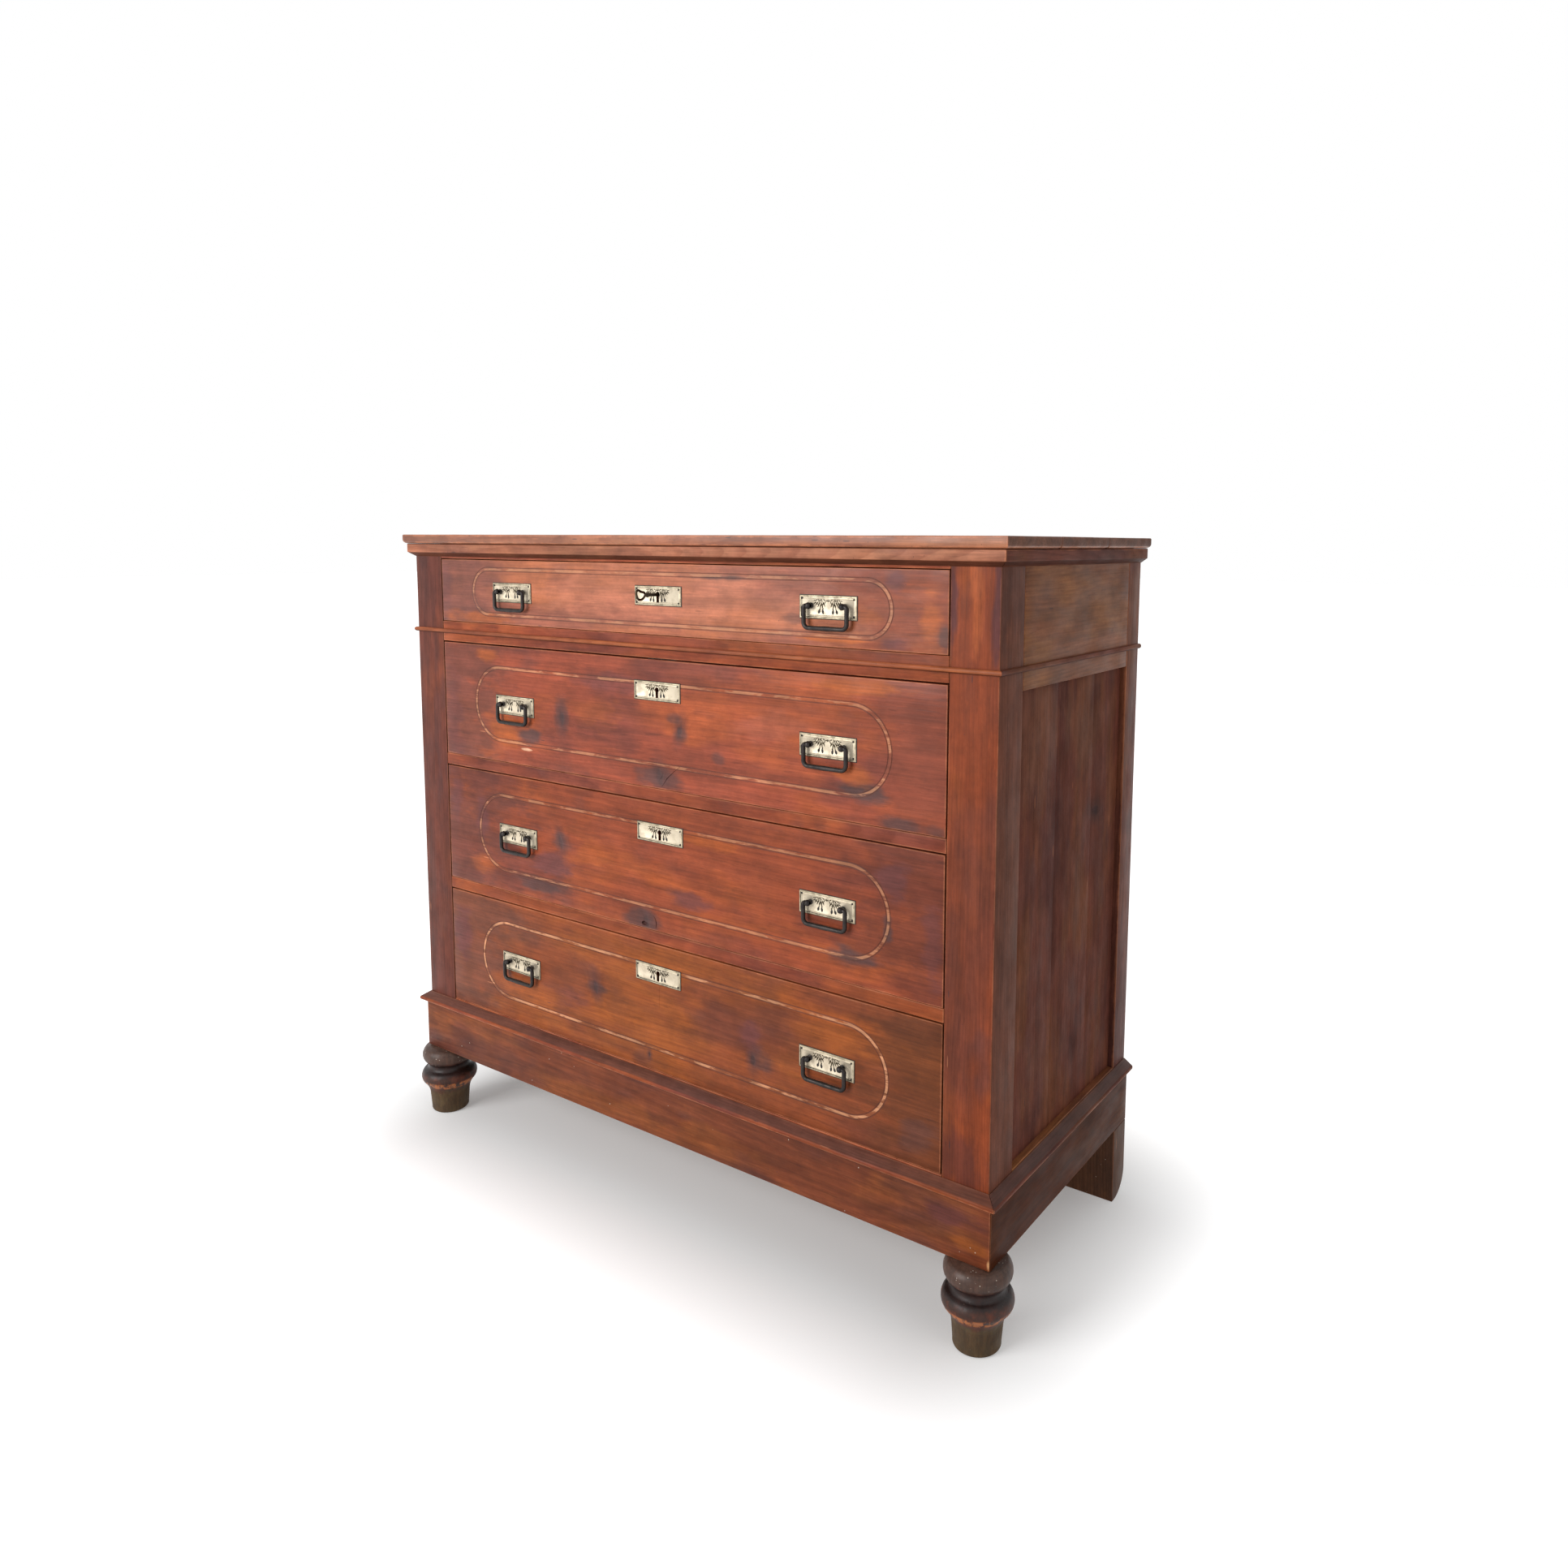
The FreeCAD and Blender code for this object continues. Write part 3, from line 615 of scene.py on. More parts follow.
# Short dark scratches, short pale ones and round pinholes: stretch, amount, size, colour.
NICKS = ((0.16, 0.05, 0.14, KNOT_CORE), (0.10, 0.04, 0.14, WORN_WOOD), (1.0, 0.05, 0.11, KNOT_CORE))
STAIN = {
    "Body": tint(143, 69, 43),
    "Thin": tint(163, 83, 41),
    "Thick": tint(114, 58, 48),
    "Cloudy": tint(84, 54, 52),
}


def shades(*colours):
    """The stain with its first few colours changed, in the order above."""
    return {**STAIN, **dict(zip(STAIN, [tint(*colour) for colour in colours]))}


def box_of(piece):
    points = [vertex.co for vertex in piece.data.vertices]
    low = Vector([min(point[axis] for point in points) for axis in range(3)])
    high = Vector([max(point[axis] for point in points) for axis in range(3)])
    return low, high


def grain_frame(tree, piece, grain):
    """Object coordinates, the same turned to the grain and centred, and that centre."""
    low, high = box_of(piece)
    along, across = AXES[grain[0]], AXES[grain[1]]
    turn = Matrix((along, across, along.cross(across)))
    here = node(tree, "ShaderNodeTexCoord").outputs["Object"]
    middle = turn @ ((low + high) / 2)
    settings = {"Vector": here, "Location": -middle, "Rotation": turn.to_euler()}
    return here, node(tree, "ShaderNodeMapping", settings).outputs[0], middle


def pine(name, piece, grain, seed, colours=STAIN, knots=(), marks=(), line=None,
         wear=0.0028, wear_share=0.45, pith=0.03, sway=0.07, ring=0.0045, depth=0.3,
         thin=0.7, thick=0.7, cloudy=0.5, roughness=0.43, polish=0.15, planed=0.0009,
         nicked=1.0, speckled=0.0, pitch=None, zones=()):
    """The finish of one board. Places are along and across the grain, in metres.

    A knot is (along, across, size, slant), and a mark is (along, across, its half
    length, its half height, colour, strength). A zone is (axis or place, start, end,
    colour, polish): between two distances from the chest's middle plane, or from a
    place, the finish turns to another. Some marks and zones are painted light: a
    sheen, or shade in gaps, the keyhole and under ledges.
    """
    material, tree, shader = new_material(name)
    here, vector, centre = grain_frame(tree, piece, grain)
    low, high = box_of(piece)
    number = seed
    if pitch:
        level = sum_of(tree, parts_of(tree, here)[2], -low.z)
        boards = maths(tree, "FLOOR", maths(tree, "DIVIDE", level, pitch))
        number = sum_of(tree, product(tree, boards, 7.3), seed)

    push, core, smudge = 0.0, 0.0, 0.0
    for along, across, size, slant in knots:
        place = (along - centre[0], across - centre[1], 0)
        spot = use(tree, knot, Vector=vector, Place=place, Size=size, Slant=slant)
        push = sum_of(tree, spot["Push"], push)
        core = maths(tree, "MAXIMUM", spot["Core"], core)
        smudge = maths(tree, "MAXIMUM", spot["Smudge"], smudge)

    wood = use(tree, figure, Vector=vector, Seed=number, Pith=pith, Sway=sway, Ring_Width=ring, Push=push)
    finish = use(tree, stain, Vector=vector, Seed=number, Rings=wood["Rings"], Fibre=wood["Fibre"],
                 Thin_Share=thin, Thick_Share=thick, Cloudy_Share=cloudy, Ring_Depth=depth, **colours)
    colour = finish["Color"]
    if knots:
        colour = blend_colour(tree, product(tree, smudge, 0.6), colour, colours["Cloudy"])
        colour = blend_colour(tree, product(tree, core, 0.75), colour, KNOT_CORE)
    for index, (along, across, half_length, half_height, shade, strength) in enumerate(marks):
        place = (along - centre[0], across - centre[1], 0)
        share = (1 / half_length, 1 / half_height, 0)
        spot = use(tree, patch, Vector=vector, Place=place, Share=share, Seed=seed + index)["Mask"]
        colour = blend_colour(tree, product(tree, spot, strength), colour, shade)
    edges = use(tree, worn, Vector=here, Low=low, High=high, Width=wear, Seed=seed)
    colour = blend_colour(tree, product(tree, edges["Wear"], wear_share), colour, WORN_WOOD)
    for stretch, amount, size, shade in NICKS:
        spread = stretched(tree, vector, (stretch, 1, 1))
        amount = product(tree, amount, nicked)
        nicks = use(tree, specks, Vector=spread, Scale=130.0, Size=size, Amount=amount)["Mask"]
        colour = blend_colour(tree, product(tree, nicks, 0.65), colour, shade)
    shine = polish
    for axis, start, end, shade, its_polish in zones:
        if isinstance(axis, int):
            distance = maths(tree, "ABSOLUTE", parts_of(tree, here)[axis])
        else:
            away = vectors(tree, "SUBTRACT", here, tuple(axis))
            distance = vectors(tree, "LENGTH", away, output=1)
        inside = fade(tree, distance, start, end)
        colour = blend_colour(tree, product(tree, inside, 0.75), colour, shade)
        shine = sum_of(tree, shine, product(tree, inside, its_polish - polish))
    if line:
        half_length, radius, width, groove, strength = line
        scratched = use(tree, scratch, Vector=vector, Half_Length=half_length, Radius=radius,
                        Width=width, Groove=groove, Seed=seed)
        colour = blend_colour(tree, product(tree, scratched["Bead"], strength), colour, LINE_WOOD)
        # Painted shade in the two grooves.
        colour = blend_colour(tree, product(tree, scratched["Grooves"], 0.6), colour, GROOVE_SHADE)
    colour = blend_colour(tree, 1.0, colour, finish["Streaks"], mode="MULTIPLY")
    if speckled:
        dots = use(tree, specks, Vector=here, Amount=speckled)["Mask"]
        colour = blend_colour(tree, dots, colour, PALE_SPECK)
    put(tree, shader["Base Color"], colour)

    uneven_gloss = cloud(tree, vector, (18, 40, 40), seed, 3.0)
    gloss = sum_of(tree, fade(tree, uneven_gloss, 0.3, 0.7, roughness - 0.07, roughness + 0.09),
                   product(tree, finish["Thickness"], 0.05))
    put(tree, shader["Roughness"], gloss)
    put(tree, shader["Specular IOR Level"], shine)

    hollows = cloud(tree, vector, (7, 16, 16), seed, 2.0)
    relief(tree, shader, sum_of(
        tree,
        product(tree, hollows, planed),
        product(tree, wood["Fibre"], 0.00007),
        product(tree, wood["Rings"], 0.00004),
        product(tree, core, -0.0004),
    ))
    return material


def stained(piece, body, node_name, grain, seed, colours=STAIN, **look):
    """Gives a piece a stained pine of its own and the place of one node."""
    coat_with(piece, pine(piece.name.replace("_", " "), piece, grain, seed, colours, **look))
    return placed(piece, body, "stained_pine", node_name)


print("stained pine ready")

# %% [markdown]
# Bare wood is the same board without stain: the runners, back boards, drawer boxes
# and glued blocks. These pieces keep their construction mesh, whose shape is
# right, and only take a finish. Old softwood inside a chest is a dusty honey brown.

# %% Bare pine on the hidden pieces
BARE = shades((190, 146, 104), (204, 164, 120), (170, 126, 90), (152, 116, 88))
BARE_GRAIN = {
    "corner_blocks": "zx",
    "rear_rails": "xz",
    "drawer_runners": "yx",
    "drawer_guides": "yx",
    "plinth_rear": "xz",
    "back_boards": "xz",
}
back_low, back_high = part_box("back_boards")
BACK_BOARDS = 5


def leave_bare(name, grain, seed, pitch=None):
    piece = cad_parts[name]
    coat_with(piece, pine("bare " + name, piece, grain, seed, BARE, wear=0.001, wear_share=0.2,
                          ring=0.005, depth=0.45, thin=0.5, thick=0.5, cloudy=0.35,
                          nicked=0.3, roughness=0.62, pitch=pitch))


for seed, (name, grain) in enumerate(BARE_GRAIN.items()):
    pitch = (back_high.z - back_low.z) / BACK_BOARDS if name == "back_boards" else None
    leave_bare(name, grain, 60 + seed, pitch)
for number in range(1, 5):
    leave_bare(f"drawer_{number}_box", "xz", 70 + number)
print("bare pine on", len(BARE_GRAIN) + 4, "pieces")

# %% [markdown]
# Every visible board is made by one helper. It starts as a block, its long edges
# are cut into short lengths so that it has points to move, its corners are worn
# with a bevel, and its faces are made slightly uneven, as an old hand-planed
# surface is. A plain block would catch the light like plastic.

# %% A worn board
def lengths_cut(axis, count):
    """In edit mode, divides the edges that run along one axis."""
    bpy.ops.mesh.select_all(action="DESELECT")
    bpy.ops.mesh.select_mode(type="EDGE")
    shape = bmesh.from_edit_mesh(bpy.context.object.data)
    for side in shape.edges:
        way = side.verts[1].co - side.verts[0].co
        if way.length and abs(way[axis]) / way.length > 0.999:
            side.select_set(True)
    bmesh.update_edit_mesh(bpy.context.object.data)
    bpy.ops.mesh.subdivide(number_cuts=count)


def board(name, low, high, axis, arris=1.2 * MM, hollow=0.35 * MM, spacing=0.03):
    piece = block(name, low, high)
    low, high = box_of(piece)
    edit()
    lengths_cut(axis, max(2, int((high[axis] - low[axis]) / spacing)))
    close_edit()
    bevel(piece, arris)
    return smooth(uneven(piece, hollow))


def sliced(piece, point, normal, keep_far=False):
    """Cuts a piece by a plane and closes it; keeps the side behind the normal."""
    activate(piece)
    edit()
    bpy.ops.mesh.select_all(action="SELECT")
    bpy.ops.mesh.bisect(plane_co=point, plane_no=Vector(normal).normalized(), use_fill=True,
                        clear_outer=not keep_far, clear_inner=keep_far)
    close_edit()
    return piece


def side_span(way, inner, outer):
    """Two distances from the middle plane, on one side, the smaller X first."""
    return sorted((way * inner, way * outer))


(post_inside, front_y, plinth_top), (half_width, post_back, top_underside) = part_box("front_post_right")
back_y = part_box("back_boards")[1].y
stile_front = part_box("rear_posts")[0].y
SIDES = (("left", -1), ("right", 1))
print("carcass is", round(2 * half_width, 3), "m wide")
print("posts stand from", round(plinth_top, 3), "to", round(top_underside, 3))

# %% [markdown]
# The four posts carry the chest. Their grain runs upright. On the real object the
# front ones have darkened along the drawers and lost stain down the outer corner,
# so their edges wear more widely than a rail's. Their inner faces, in the gaps
# beside the drawers, are painted near black as painted shade. The rear posts are
# rebated for the back boards; the rebate is cut with a block.

# %% Posts
POST_FLANK = (0, half_width - 1.4 * MM, half_width - 0.3 * MM, tint(116, 78, 64), 0.03)
# Painted shade: the post's inner face, in the gap beside the drawers, turns near black and loses its polish.
POST_GAP_SHADE = (0, post_inside + 0.9 * MM, post_inside + 0.3 * MM, tint(34, 18, 14), 0.0)
# Each mark is up, across, half length, half height, colour, strength.
POST_MARKS = {
    "right": [
        (0.93, 0.478, 0.09, 0.010, tint(98, 52, 48), 1.0),
        (0.93, 0.512, 0.09, 0.010, tint(168, 84, 42), 0.8),
        (0.93, 0.540, 0.09, 0.010, tint(92, 50, 47), 1.0),
        (0.23, 0.505, 0.06, 0.050, tint(104, 50, 38), 0.8),
    ],
    "left": [
        (0.70, -0.50, 0.20, 0.012, tint(84, 48, 44), 0.6),
        (0.35, -0.53, 0.15, 0.012, tint(88, 46, 36), 0.6),
    ],
}
POST_STAIN = {
    "right": shades((137, 64, 34), (153, 78, 36), (102, 54, 42)),
    "left": shades((103, 53, 41), (120, 62, 42), (84, 48, 43)),
}
SIDE_STAIN = shades((115, 67, 54), (130, 80, 54), (90, 55, 50), (78, 54, 50))
FRIEZE_STAIN = shades((138, 86, 58), (154, 100, 60), (100, 66, 54), (78, 60, 54))
STILE_WIDTH = 30 * MM
REBATE = 18 * MM
for side, way in SIDES:
    low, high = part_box("front_post_" + side)
    post = board("post_" + side, low, high, 2)
    stained(post, "carcass", "front_post_" + side, "zx", 3.1 + way, POST_STAIN[side],
            marks=POST_MARKS[side], pith=0.05, ring=0.0038, wear=0.002, wear_share=0.25,
            depth=0.16, sway=0.05, zones=[POST_FLANK, POST_GAP_SHADE])

    low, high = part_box("rear_posts")
    inner, outer = side_span(way, half_width - STILE_WIDTH, half_width)
    stile = board("rear_stile_" + side, (inner, low.y, low.z), (outer, high.y, high.z), 2)
    inner, outer = side_span(way, half_width - STILE_WIDTH - MM, half_width - STILE_WIDTH + REBATE)
    rebate_low = (inner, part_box("back_boards")[0].y, low.z - MM)
    smooth(cut(stile, block("rebate", rebate_low, (outer, back_y + MM, high.z + MM))))
    stained(stile, "carcass", "rear_posts", "zy", 6.4 + way, SIDE_STAIN, pith=0.04, polish=0.08)
print("four posts")

# %% [markdown]
# The rails between the drawers are seen as thin strips, so their edges matter most.
# Each rail over a drawer has a mortise that the lock's bolt rises into; a block a
# little larger than the bolt cuts it.

# %% Front rails
GAP_ABOVE = 1.7 * MM
GAP_BELOW = 0.3 * MM
BOLT_ROOM = 1.0 * MM
BOLT_THROW = 8.0 * MM
tops = [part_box(f"drawer_{number}_front")[1].z + GAP_ABOVE for number in range(1, 5)]
tops[0] -= 0.8 * MM
bottoms = [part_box(f"drawer_{number}_front")[0].z - GAP_BELOW for number in range(1, 5)]
levels = list(zip(tops + [plinth_top], [top_underside] + bottoms))
for index, (low_z, high_z) in enumerate(levels):
    rail = board(f"rail_{index + 1}", (-post_inside, front_y, low_z), (post_inside, post_back, high_z),
                 0, spacing=0.04)
    if index < 4:
        low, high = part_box(f"drawer_{index + 1}_bolt")
        room = Vector((BOLT_ROOM, BOLT_ROOM, 0))
        mortise = block("mortise", low - room, high + room + Vector((0, 0, BOLT_THROW + BOLT_ROOM)))
        smooth(cut(rail, mortise))
    stained(rail, "carcass", "front_rails", "xz", 9.2 + 2 * index, wear=0.0018, wear_share=0.4, pith=0.06)
print("five rails, heights in mm:", [round((high - low) / MM, 1) for low, high in levels])

# %% [markdown]
# The sides are a flush frieze rail above, a sunk panel below and a low sill rail.
# The panel is three upright boards, each with eased edges, so that their joints
# show as fine lines. The sides had less light and less polish than the front, and
# their stain has gone brown.

# %% Sides
FRIEZE_THICKNESS = 28 * MM
PANEL_JOINTS = (0.37, 0.71)
PANEL_MARKS = [
    (0.76, -0.08, 0.10, 0.10, tint(126, 82, 64), 0.6),
    (0.74, 0.08, 0.06, 0.08, tint(120, 78, 60), 0.5),
]
for side, way in SIDES:
    for name, seed in (("frieze", 21), ("sill", 24)):
        low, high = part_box(name + "_rails")
        inner, outer = side_span(way, half_width - FRIEZE_THICKNESS, half_width)
        rail = board(f"{name}_{side}", (inner, post_back, low.z), (outer, stile_front, high.z), 1)
        stained(rail, "carcass", name + "_rails", "yz", seed + way, FRIEZE_STAIN, pith=0.02, sway=0.09,
                thin=0.8, depth=0.2, planed=0.0003, wear=0.0008, polish=0.08)

    low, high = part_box("side_panel_" + side)
    cuts = [low.y + share * (high.y - low.y) for share in (0, *PANEL_JOINTS)] + [high.y]
    strips = [
        board(f"strip_{index}", (low.x, start, low.z), (high.x, end, high.z), 2,
              arris=0.45 * MM, hollow=0.08 * MM)
        for index, (start, end) in enumerate(zip(cuts, cuts[1:]))
    ]
    panel = smooth(joined("panel_" + side, strips))
    stained(panel, "carcass", "side_panel_" + side, "zy", 27 + way, SIDE_STAIN,
            knots=[(0.62, 0.12, 0.009, 0.4)], marks=PANEL_MARKS, pith=0.012, sway=0.10, ring=0.005,
            depth=0.2, thick=0.8, cloudy=0.4, planed=0.0003, wear=0.0001, roughness=0.55, polish=0.03)
print("two sides")

# %% [markdown]
# The top is one slab of three boards. Its underside rolls away in a large round
# and its upper edge is worn to a small one. Two bevels in edit mode, each on its
# own edges, do that better than one modifier with one width.

# %% Top
UPPER_ROUND = 1.8 * MM
LOWER_ROUND = 6.5 * MM
slab_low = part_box("top_board_front")[0]
slab_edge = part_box("top_board_front")[1].x
SLAB_STAIN = shades((160, 100, 72), (186, 122, 84), (124, 78, 62), (96, 68, 58))
SLAB_END = (0, slab_edge - 2.0 * MM, slab_edge - 0.6 * MM, tint(92, 66, 56), 0.05)


def on_rim(point):
    return abs(point.x) > slab_edge - 0.1 * MM or point.y < slab_low.y + 0.1 * MM


for index, part in enumerate(("front", "middle", "rear")):
    low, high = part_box("top_board_" + part)
    slab = block("slab_" + part, low, high)
    edit()
    select("EDGE", lambda p: on_rim(p) and p.z < low.z + 0.1 * MM)
    bpy.ops.mesh.bevel(offset=LOWER_ROUND, segments=6, affect="EDGES")
    select("EDGE", lambda p: on_rim(p) and p.z > high.z - 0.1 * MM)
    bpy.ops.mesh.bevel(offset=UPPER_ROUND, segments=3, affect="EDGES")
    lengths_cut(0, 40)
    close_edit()
    smooth(uneven(slab, 0.4 * MM))
    stained(slab, "carcass", "top_board_" + part, "xy", 31 + 3 * index, SLAB_STAIN, wear=0.0035,
            wear_share=0.85, nicked=3.0, pith=0.018, sway=0.10, ring=0.0055, roughness=0.38,
            polish=0.4, zones=[SLAB_END])

# %% [markdown]
# A moulding runs round the front and both sides, mitred at the front corners. A
# profile could be swept along a path, but a joiner planes a straight stick and
# saws the mitres, and so does this: a block is planed by slanted cuts, its edges
# are rounded, and its ends are cut by the upright plane through the corner.

# %% Mouldings
CORNER = {side: Vector((way * half_width, front_y, 0)) for side, way in SIDES}
FASCIA = 14 * MM
CAP_NOSE = 5 * MM


def mitred_runs(low, high, inside, planed_by):
    """Front, left and right sticks; planed_by shapes each, given the way it faces."""
    runs = {}
    stick = block("stick", low, (high.x, front_y + inside, high.z))
    planed_by(stick, Vector((0, -1, 0)))
    for side, way in SIDES:
        sliced(stick, CORNER[side], (way, 1, 0))
    runs["front"] = stick
    for side, way in SIDES:
        inner, outer = side_span(way, half_width - inside, high.x)
        stick = block("stick", (inner, low.y, low.z), (outer, high.y, high.z))
        planed_by(stick, Vector((way, 0, 0)))
        runs[side] = sliced(stick, CORNER[side], (way, 1, 0), keep_far=True)
    return runs


def face_point(facing, height):
    """A point on the carcass's own face, at a height."""
    return Vector((facing.x * half_width, front_y, height))


def finish_runs(name, runs, node_name, seed, arris, colours, side_colours=SIDE_STAIN, **look):
    """The front stick has its own colours and some polish; the sides are duller."""
    for part, stick in runs.items():
        in_front = part == "front"
        stick.name = stick.data.name = f"{name}_{part}"
        activate(stick)
        edit()
        lengths_cut(*((0, 40) if in_front else (1, 18)))
        close_edit()
        bevel(stick, arris, angle=25)
        smooth(uneven(stick, 0.3 * MM))
        stained(stick, "carcass", node_name, "xz" if in_front else "yz", seed,
                colours if in_front else side_colours, polish=0.15 if in_front else 0.04, **look)
        seed += 1.7


cornice_low, cornice_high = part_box("cornice")
cornice_reach = cornice_high.x - half_width
fascia_low = cornice_high.z - FASCIA
# Painted shade, with some dark stain on the cornice's slope: it darkens the slope under the fascia, a strip
# under the top's rounded edge and the underside of the waist bead.
PAINTED_LEDGE_SHADE = tint(66, 32, 22)
CAP_STAIN = tint(90, 62, 54)
# The waist bead's stain is paler than the front's: partly painted highlight along its rounded crown.
BEAD_STAIN_AND_HIGHLIGHT = shades((160, 90, 58), (172, 96, 54), (124, 66, 48))
CORNICE_STAIN = shades((166, 106, 80), (192, 128, 92), (130, 84, 70))


def plane_cornice(stick, facing):
    """Below the fascia the face slopes back to the carcass."""
    rise = fascia_low - cornice_low.z
    slope = facing * rise - Vector((0, 0, cornice_reach))
    sliced(stick, face_point(facing, cornice_low.z), slope)


finish_runs("cornice", mitred_runs(cornice_low, cornice_high, 0, plane_cornice), "cornice", 41,
            0.9 * MM, CORNICE_STAIN, wear=0.002, wear_share=0.6, nicked=3.0, ring=0.003, pith=0.05,
            # Painted shade on the slope under the fascia and on the strip just under the top.
            zones=[(2, fascia_low + 0.4 * MM, fascia_low - 0.8 * MM, PAINTED_LEDGE_SHADE, 0.03),
                   (2, cornice_high.z - 1.8 * MM, cornice_high.z - 0.8 * MM, PAINTED_LEDGE_SHADE, 0.03)])

bead_low, bead_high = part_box("waist_bead")


def plane_bead(stick, facing):
    """Both outer edges are rounded until they meet."""
    activate(stick)
    edit()
    outermost = max(point.co.dot(facing) for point in stick.data.vertices)
    select("EDGE", lambda p: p.dot(facing) > outermost - 0.05 * MM)
    shape = bmesh.from_edit_mesh(stick.data)
    for side in shape.edges:
        if abs(side.verts[0].co.z - side.verts[1].co.z) > MM:
            side.select_set(False)
    bmesh.update_edit_mesh(stick.data)
    bpy.ops.mesh.bevel(offset=(bead_high.z - bead_low.z) * 0.46, segments=5, affect="EDGES")
    close_edit()


finish_runs("waist_bead_run", mitred_runs(bead_low, bead_high, 0, plane_bead), "waist_bead", 47,
            0.3 * MM, BEAD_STAIN_AND_HIGHLIGHT, wear=0.0012, wear_share=0.25, ring=0.003, pith=0.05,
            # Painted shade along the underside of the bead.
            zones=[(2, bead_low.z + 2.6 * MM, bead_low.z + 1.0 * MM, PAINTED_LEDGE_SHADE, 0.03)])

cap_low, cap_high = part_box("plinth_cap")
cap_reach = cap_high.x - half_width


def plane_cap(stick, facing):
    """Over its nose the cap slopes up and back to the posts."""
    rise = cap_high.z - cap_low.z - CAP_NOSE
    slope = facing * rise + Vector((0, 0, cap_reach))
    sliced(stick, face_point(facing, cap_high.z), slope)


finish_runs("cap", mitred_runs(cap_low, cap_high, 0, plane_cap), "plinth_cap", 53, 1.4 * MM, STAIN,
            wear=0.0022, wear_share=0.6, ring=0.003, pith=0.05,
            zones=[(2, cap_low.z + CAP_NOSE, cap_low.z + CAP_NOSE + 1.5 * MM, CAP_STAIN, 0.15)])
print("cornice, waist bead and plinth cap, three sticks each")

# %% [markdown]
# The plinth is three mitred boards. Feet, brooms and mops have knocked the corner
# and left specks of paint on it.

# %% Plinth
PLINTH_SIDE = shades((80, 40, 20), (96, 52, 22), (60, 32, 20), (78, 54, 50))
PLINTH_STAIN = shades((118, 60, 36), (140, 76, 36), (84, 48, 43))
plinth_low, plinth_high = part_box("plinth_front")
plinth_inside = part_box("plinth_front")[1].y - front_y
side_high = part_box("plinth_right")[1]
PLINTH_MARKS = [
    (plinth_high.x - 2 * MM, plinth_low.z + 9 * MM, 0.0035, 0.008, tint(206, 152, 104), 0.9),
    (plinth_high.x - 30 * MM, plinth_low.z + 25 * MM, 0.030, 0.012, tint(158, 84, 34), 0.7),
    (plinth_high.x - 60 * MM, plinth_low.z + 55 * MM, 0.050, 0.018, tint(88, 46, 46), 0.7),
]
runs = mitred_runs(plinth_low, Vector((plinth_high.x, side_high.y, plinth_high.z)), plinth_inside,
                   lambda stick, facing: stick)
for part, seed, look in (
    ("front", 57, {"speckled": 0.05, "marks": PLINTH_MARKS}),
    ("left", 59, {"speckled": 0.1}),
    ("right", 60, {"speckled": 0.1}),
):
    finish_runs("plinth", {part: runs[part]}, "plinth_" + part, seed, 1.6 * MM, PLINTH_STAIN,
                PLINTH_SIDE, wear=0.002, wear_share=0.22, pith=0.04, depth=0.2, **look)
print("plinth")

# %% [markdown]
# The front feet were turned on a lathe: a tapered shank, a hollow, a bulb, a neck
# and a flat bead. The outline could be a curve with Blender's Screw modifier. Here
# it is walked up with extrude and resize, one ring at a time, which is the lathe's
# own way of thinking. Round stretches are arcs through three points.

# %% The foot's outline
FOOT_HEIGHT = plinth_low.z
FOOT_AXIS = (522.3 * MM, front_y + 15.9 * MM)
PAD = (27.0 * MM, 0.0)
FOOT_STRETCHES = [
    ((29.9 * MM, 0.012), (30.8 * MM, 0.045)),
    (None, (32.8 * MM, 0.27)),
    ((35.8 * MM, 0.375), (41.7 * MM, 0.455)),
    ((46.2 * MM, 0.55), (40.7 * MM, 0.65)),
    ((33.5 * MM, 0.715), (38.4 * MM, 0.775)),
    ((43.9 * MM, 0.88), (36.4 * MM, 1.0)),
]
RING_POINTS = 56


def arc_through(first, middle, last, steps):
    """Points along the circle through three points, after the first."""
    a, b, c = Vector(first), Vector(middle), Vector(last)
    spread = 2 * (a.x * (b.y - c.y) + b.x * (c.y - a.y) + c.x * (a.y - b.y))
    squares = [point.length_squared for point in (a, b, c)]
    centre = Vector((
        squares[0] * (b.y - c.y) + squares[1] * (c.y - a.y) + squares[2] * (a.y - b.y),
        squares[0] * (c.x - b.x) + squares[1] * (a.x - c.x) + squares[2] * (b.x - a.x),
    )) / spread
    start, end = a - centre, c - centre
    turn = math.atan2(end.y, end.x) - math.atan2(start.y, start.x)
    turn = (turn + math.pi) % (2 * math.pi) - math.pi
    return [centre + Matrix.Rotation(turn * step / steps, 2) @ start for step in range(1, steps + 1)]


foot_outline = [Vector(PAD)]
for bulge, end in FOOT_STRETCHES:
    here = foot_outline[-1]
    last = Vector((end[0], end[1] * FOOT_HEIGHT))
    if bulge is None:
        foot_outline += [here.lerp(last, share) for share in (0.33, 0.67, 1.0)]
    else:
        foot_outline += arc_through(here, (bulge[0], bulge[1] * FOOT_HEIGHT), last, 7)


def turned(name, points, outline, axis=(0, 0)):
    """From a disc at the first point, one extruded ring for each further point."""
    made = disc(name, points, outline[0].x, (axis[0], axis[1], outline[0].y))
    for below, above in zip(outline, outline[1:]):
        bpy.ops.mesh.extrude_region_move(TRANSFORM_OT_translate={"value": (0, 0, above.y - below.y)})
        share = above.x / below.x
        bpy.ops.transform.resize(value=(share, share, 1), center_override=(axis[0], axis[1], above.y))
    close_up()
    return made


print(len(foot_outline), "rings up the foot")

# %% [markdown]
# Turned wood shows its rings as lines round the foot, but what the eye sees is the
# finish: dark and glossy, grey-olive and worn at the bottom, and a rubbed orange
# line where the bulb starts, broken into small nicks. The hollow of the neck is
# painted near black, as painted shade. Height picks the zone, and noise breaks its
# edges.

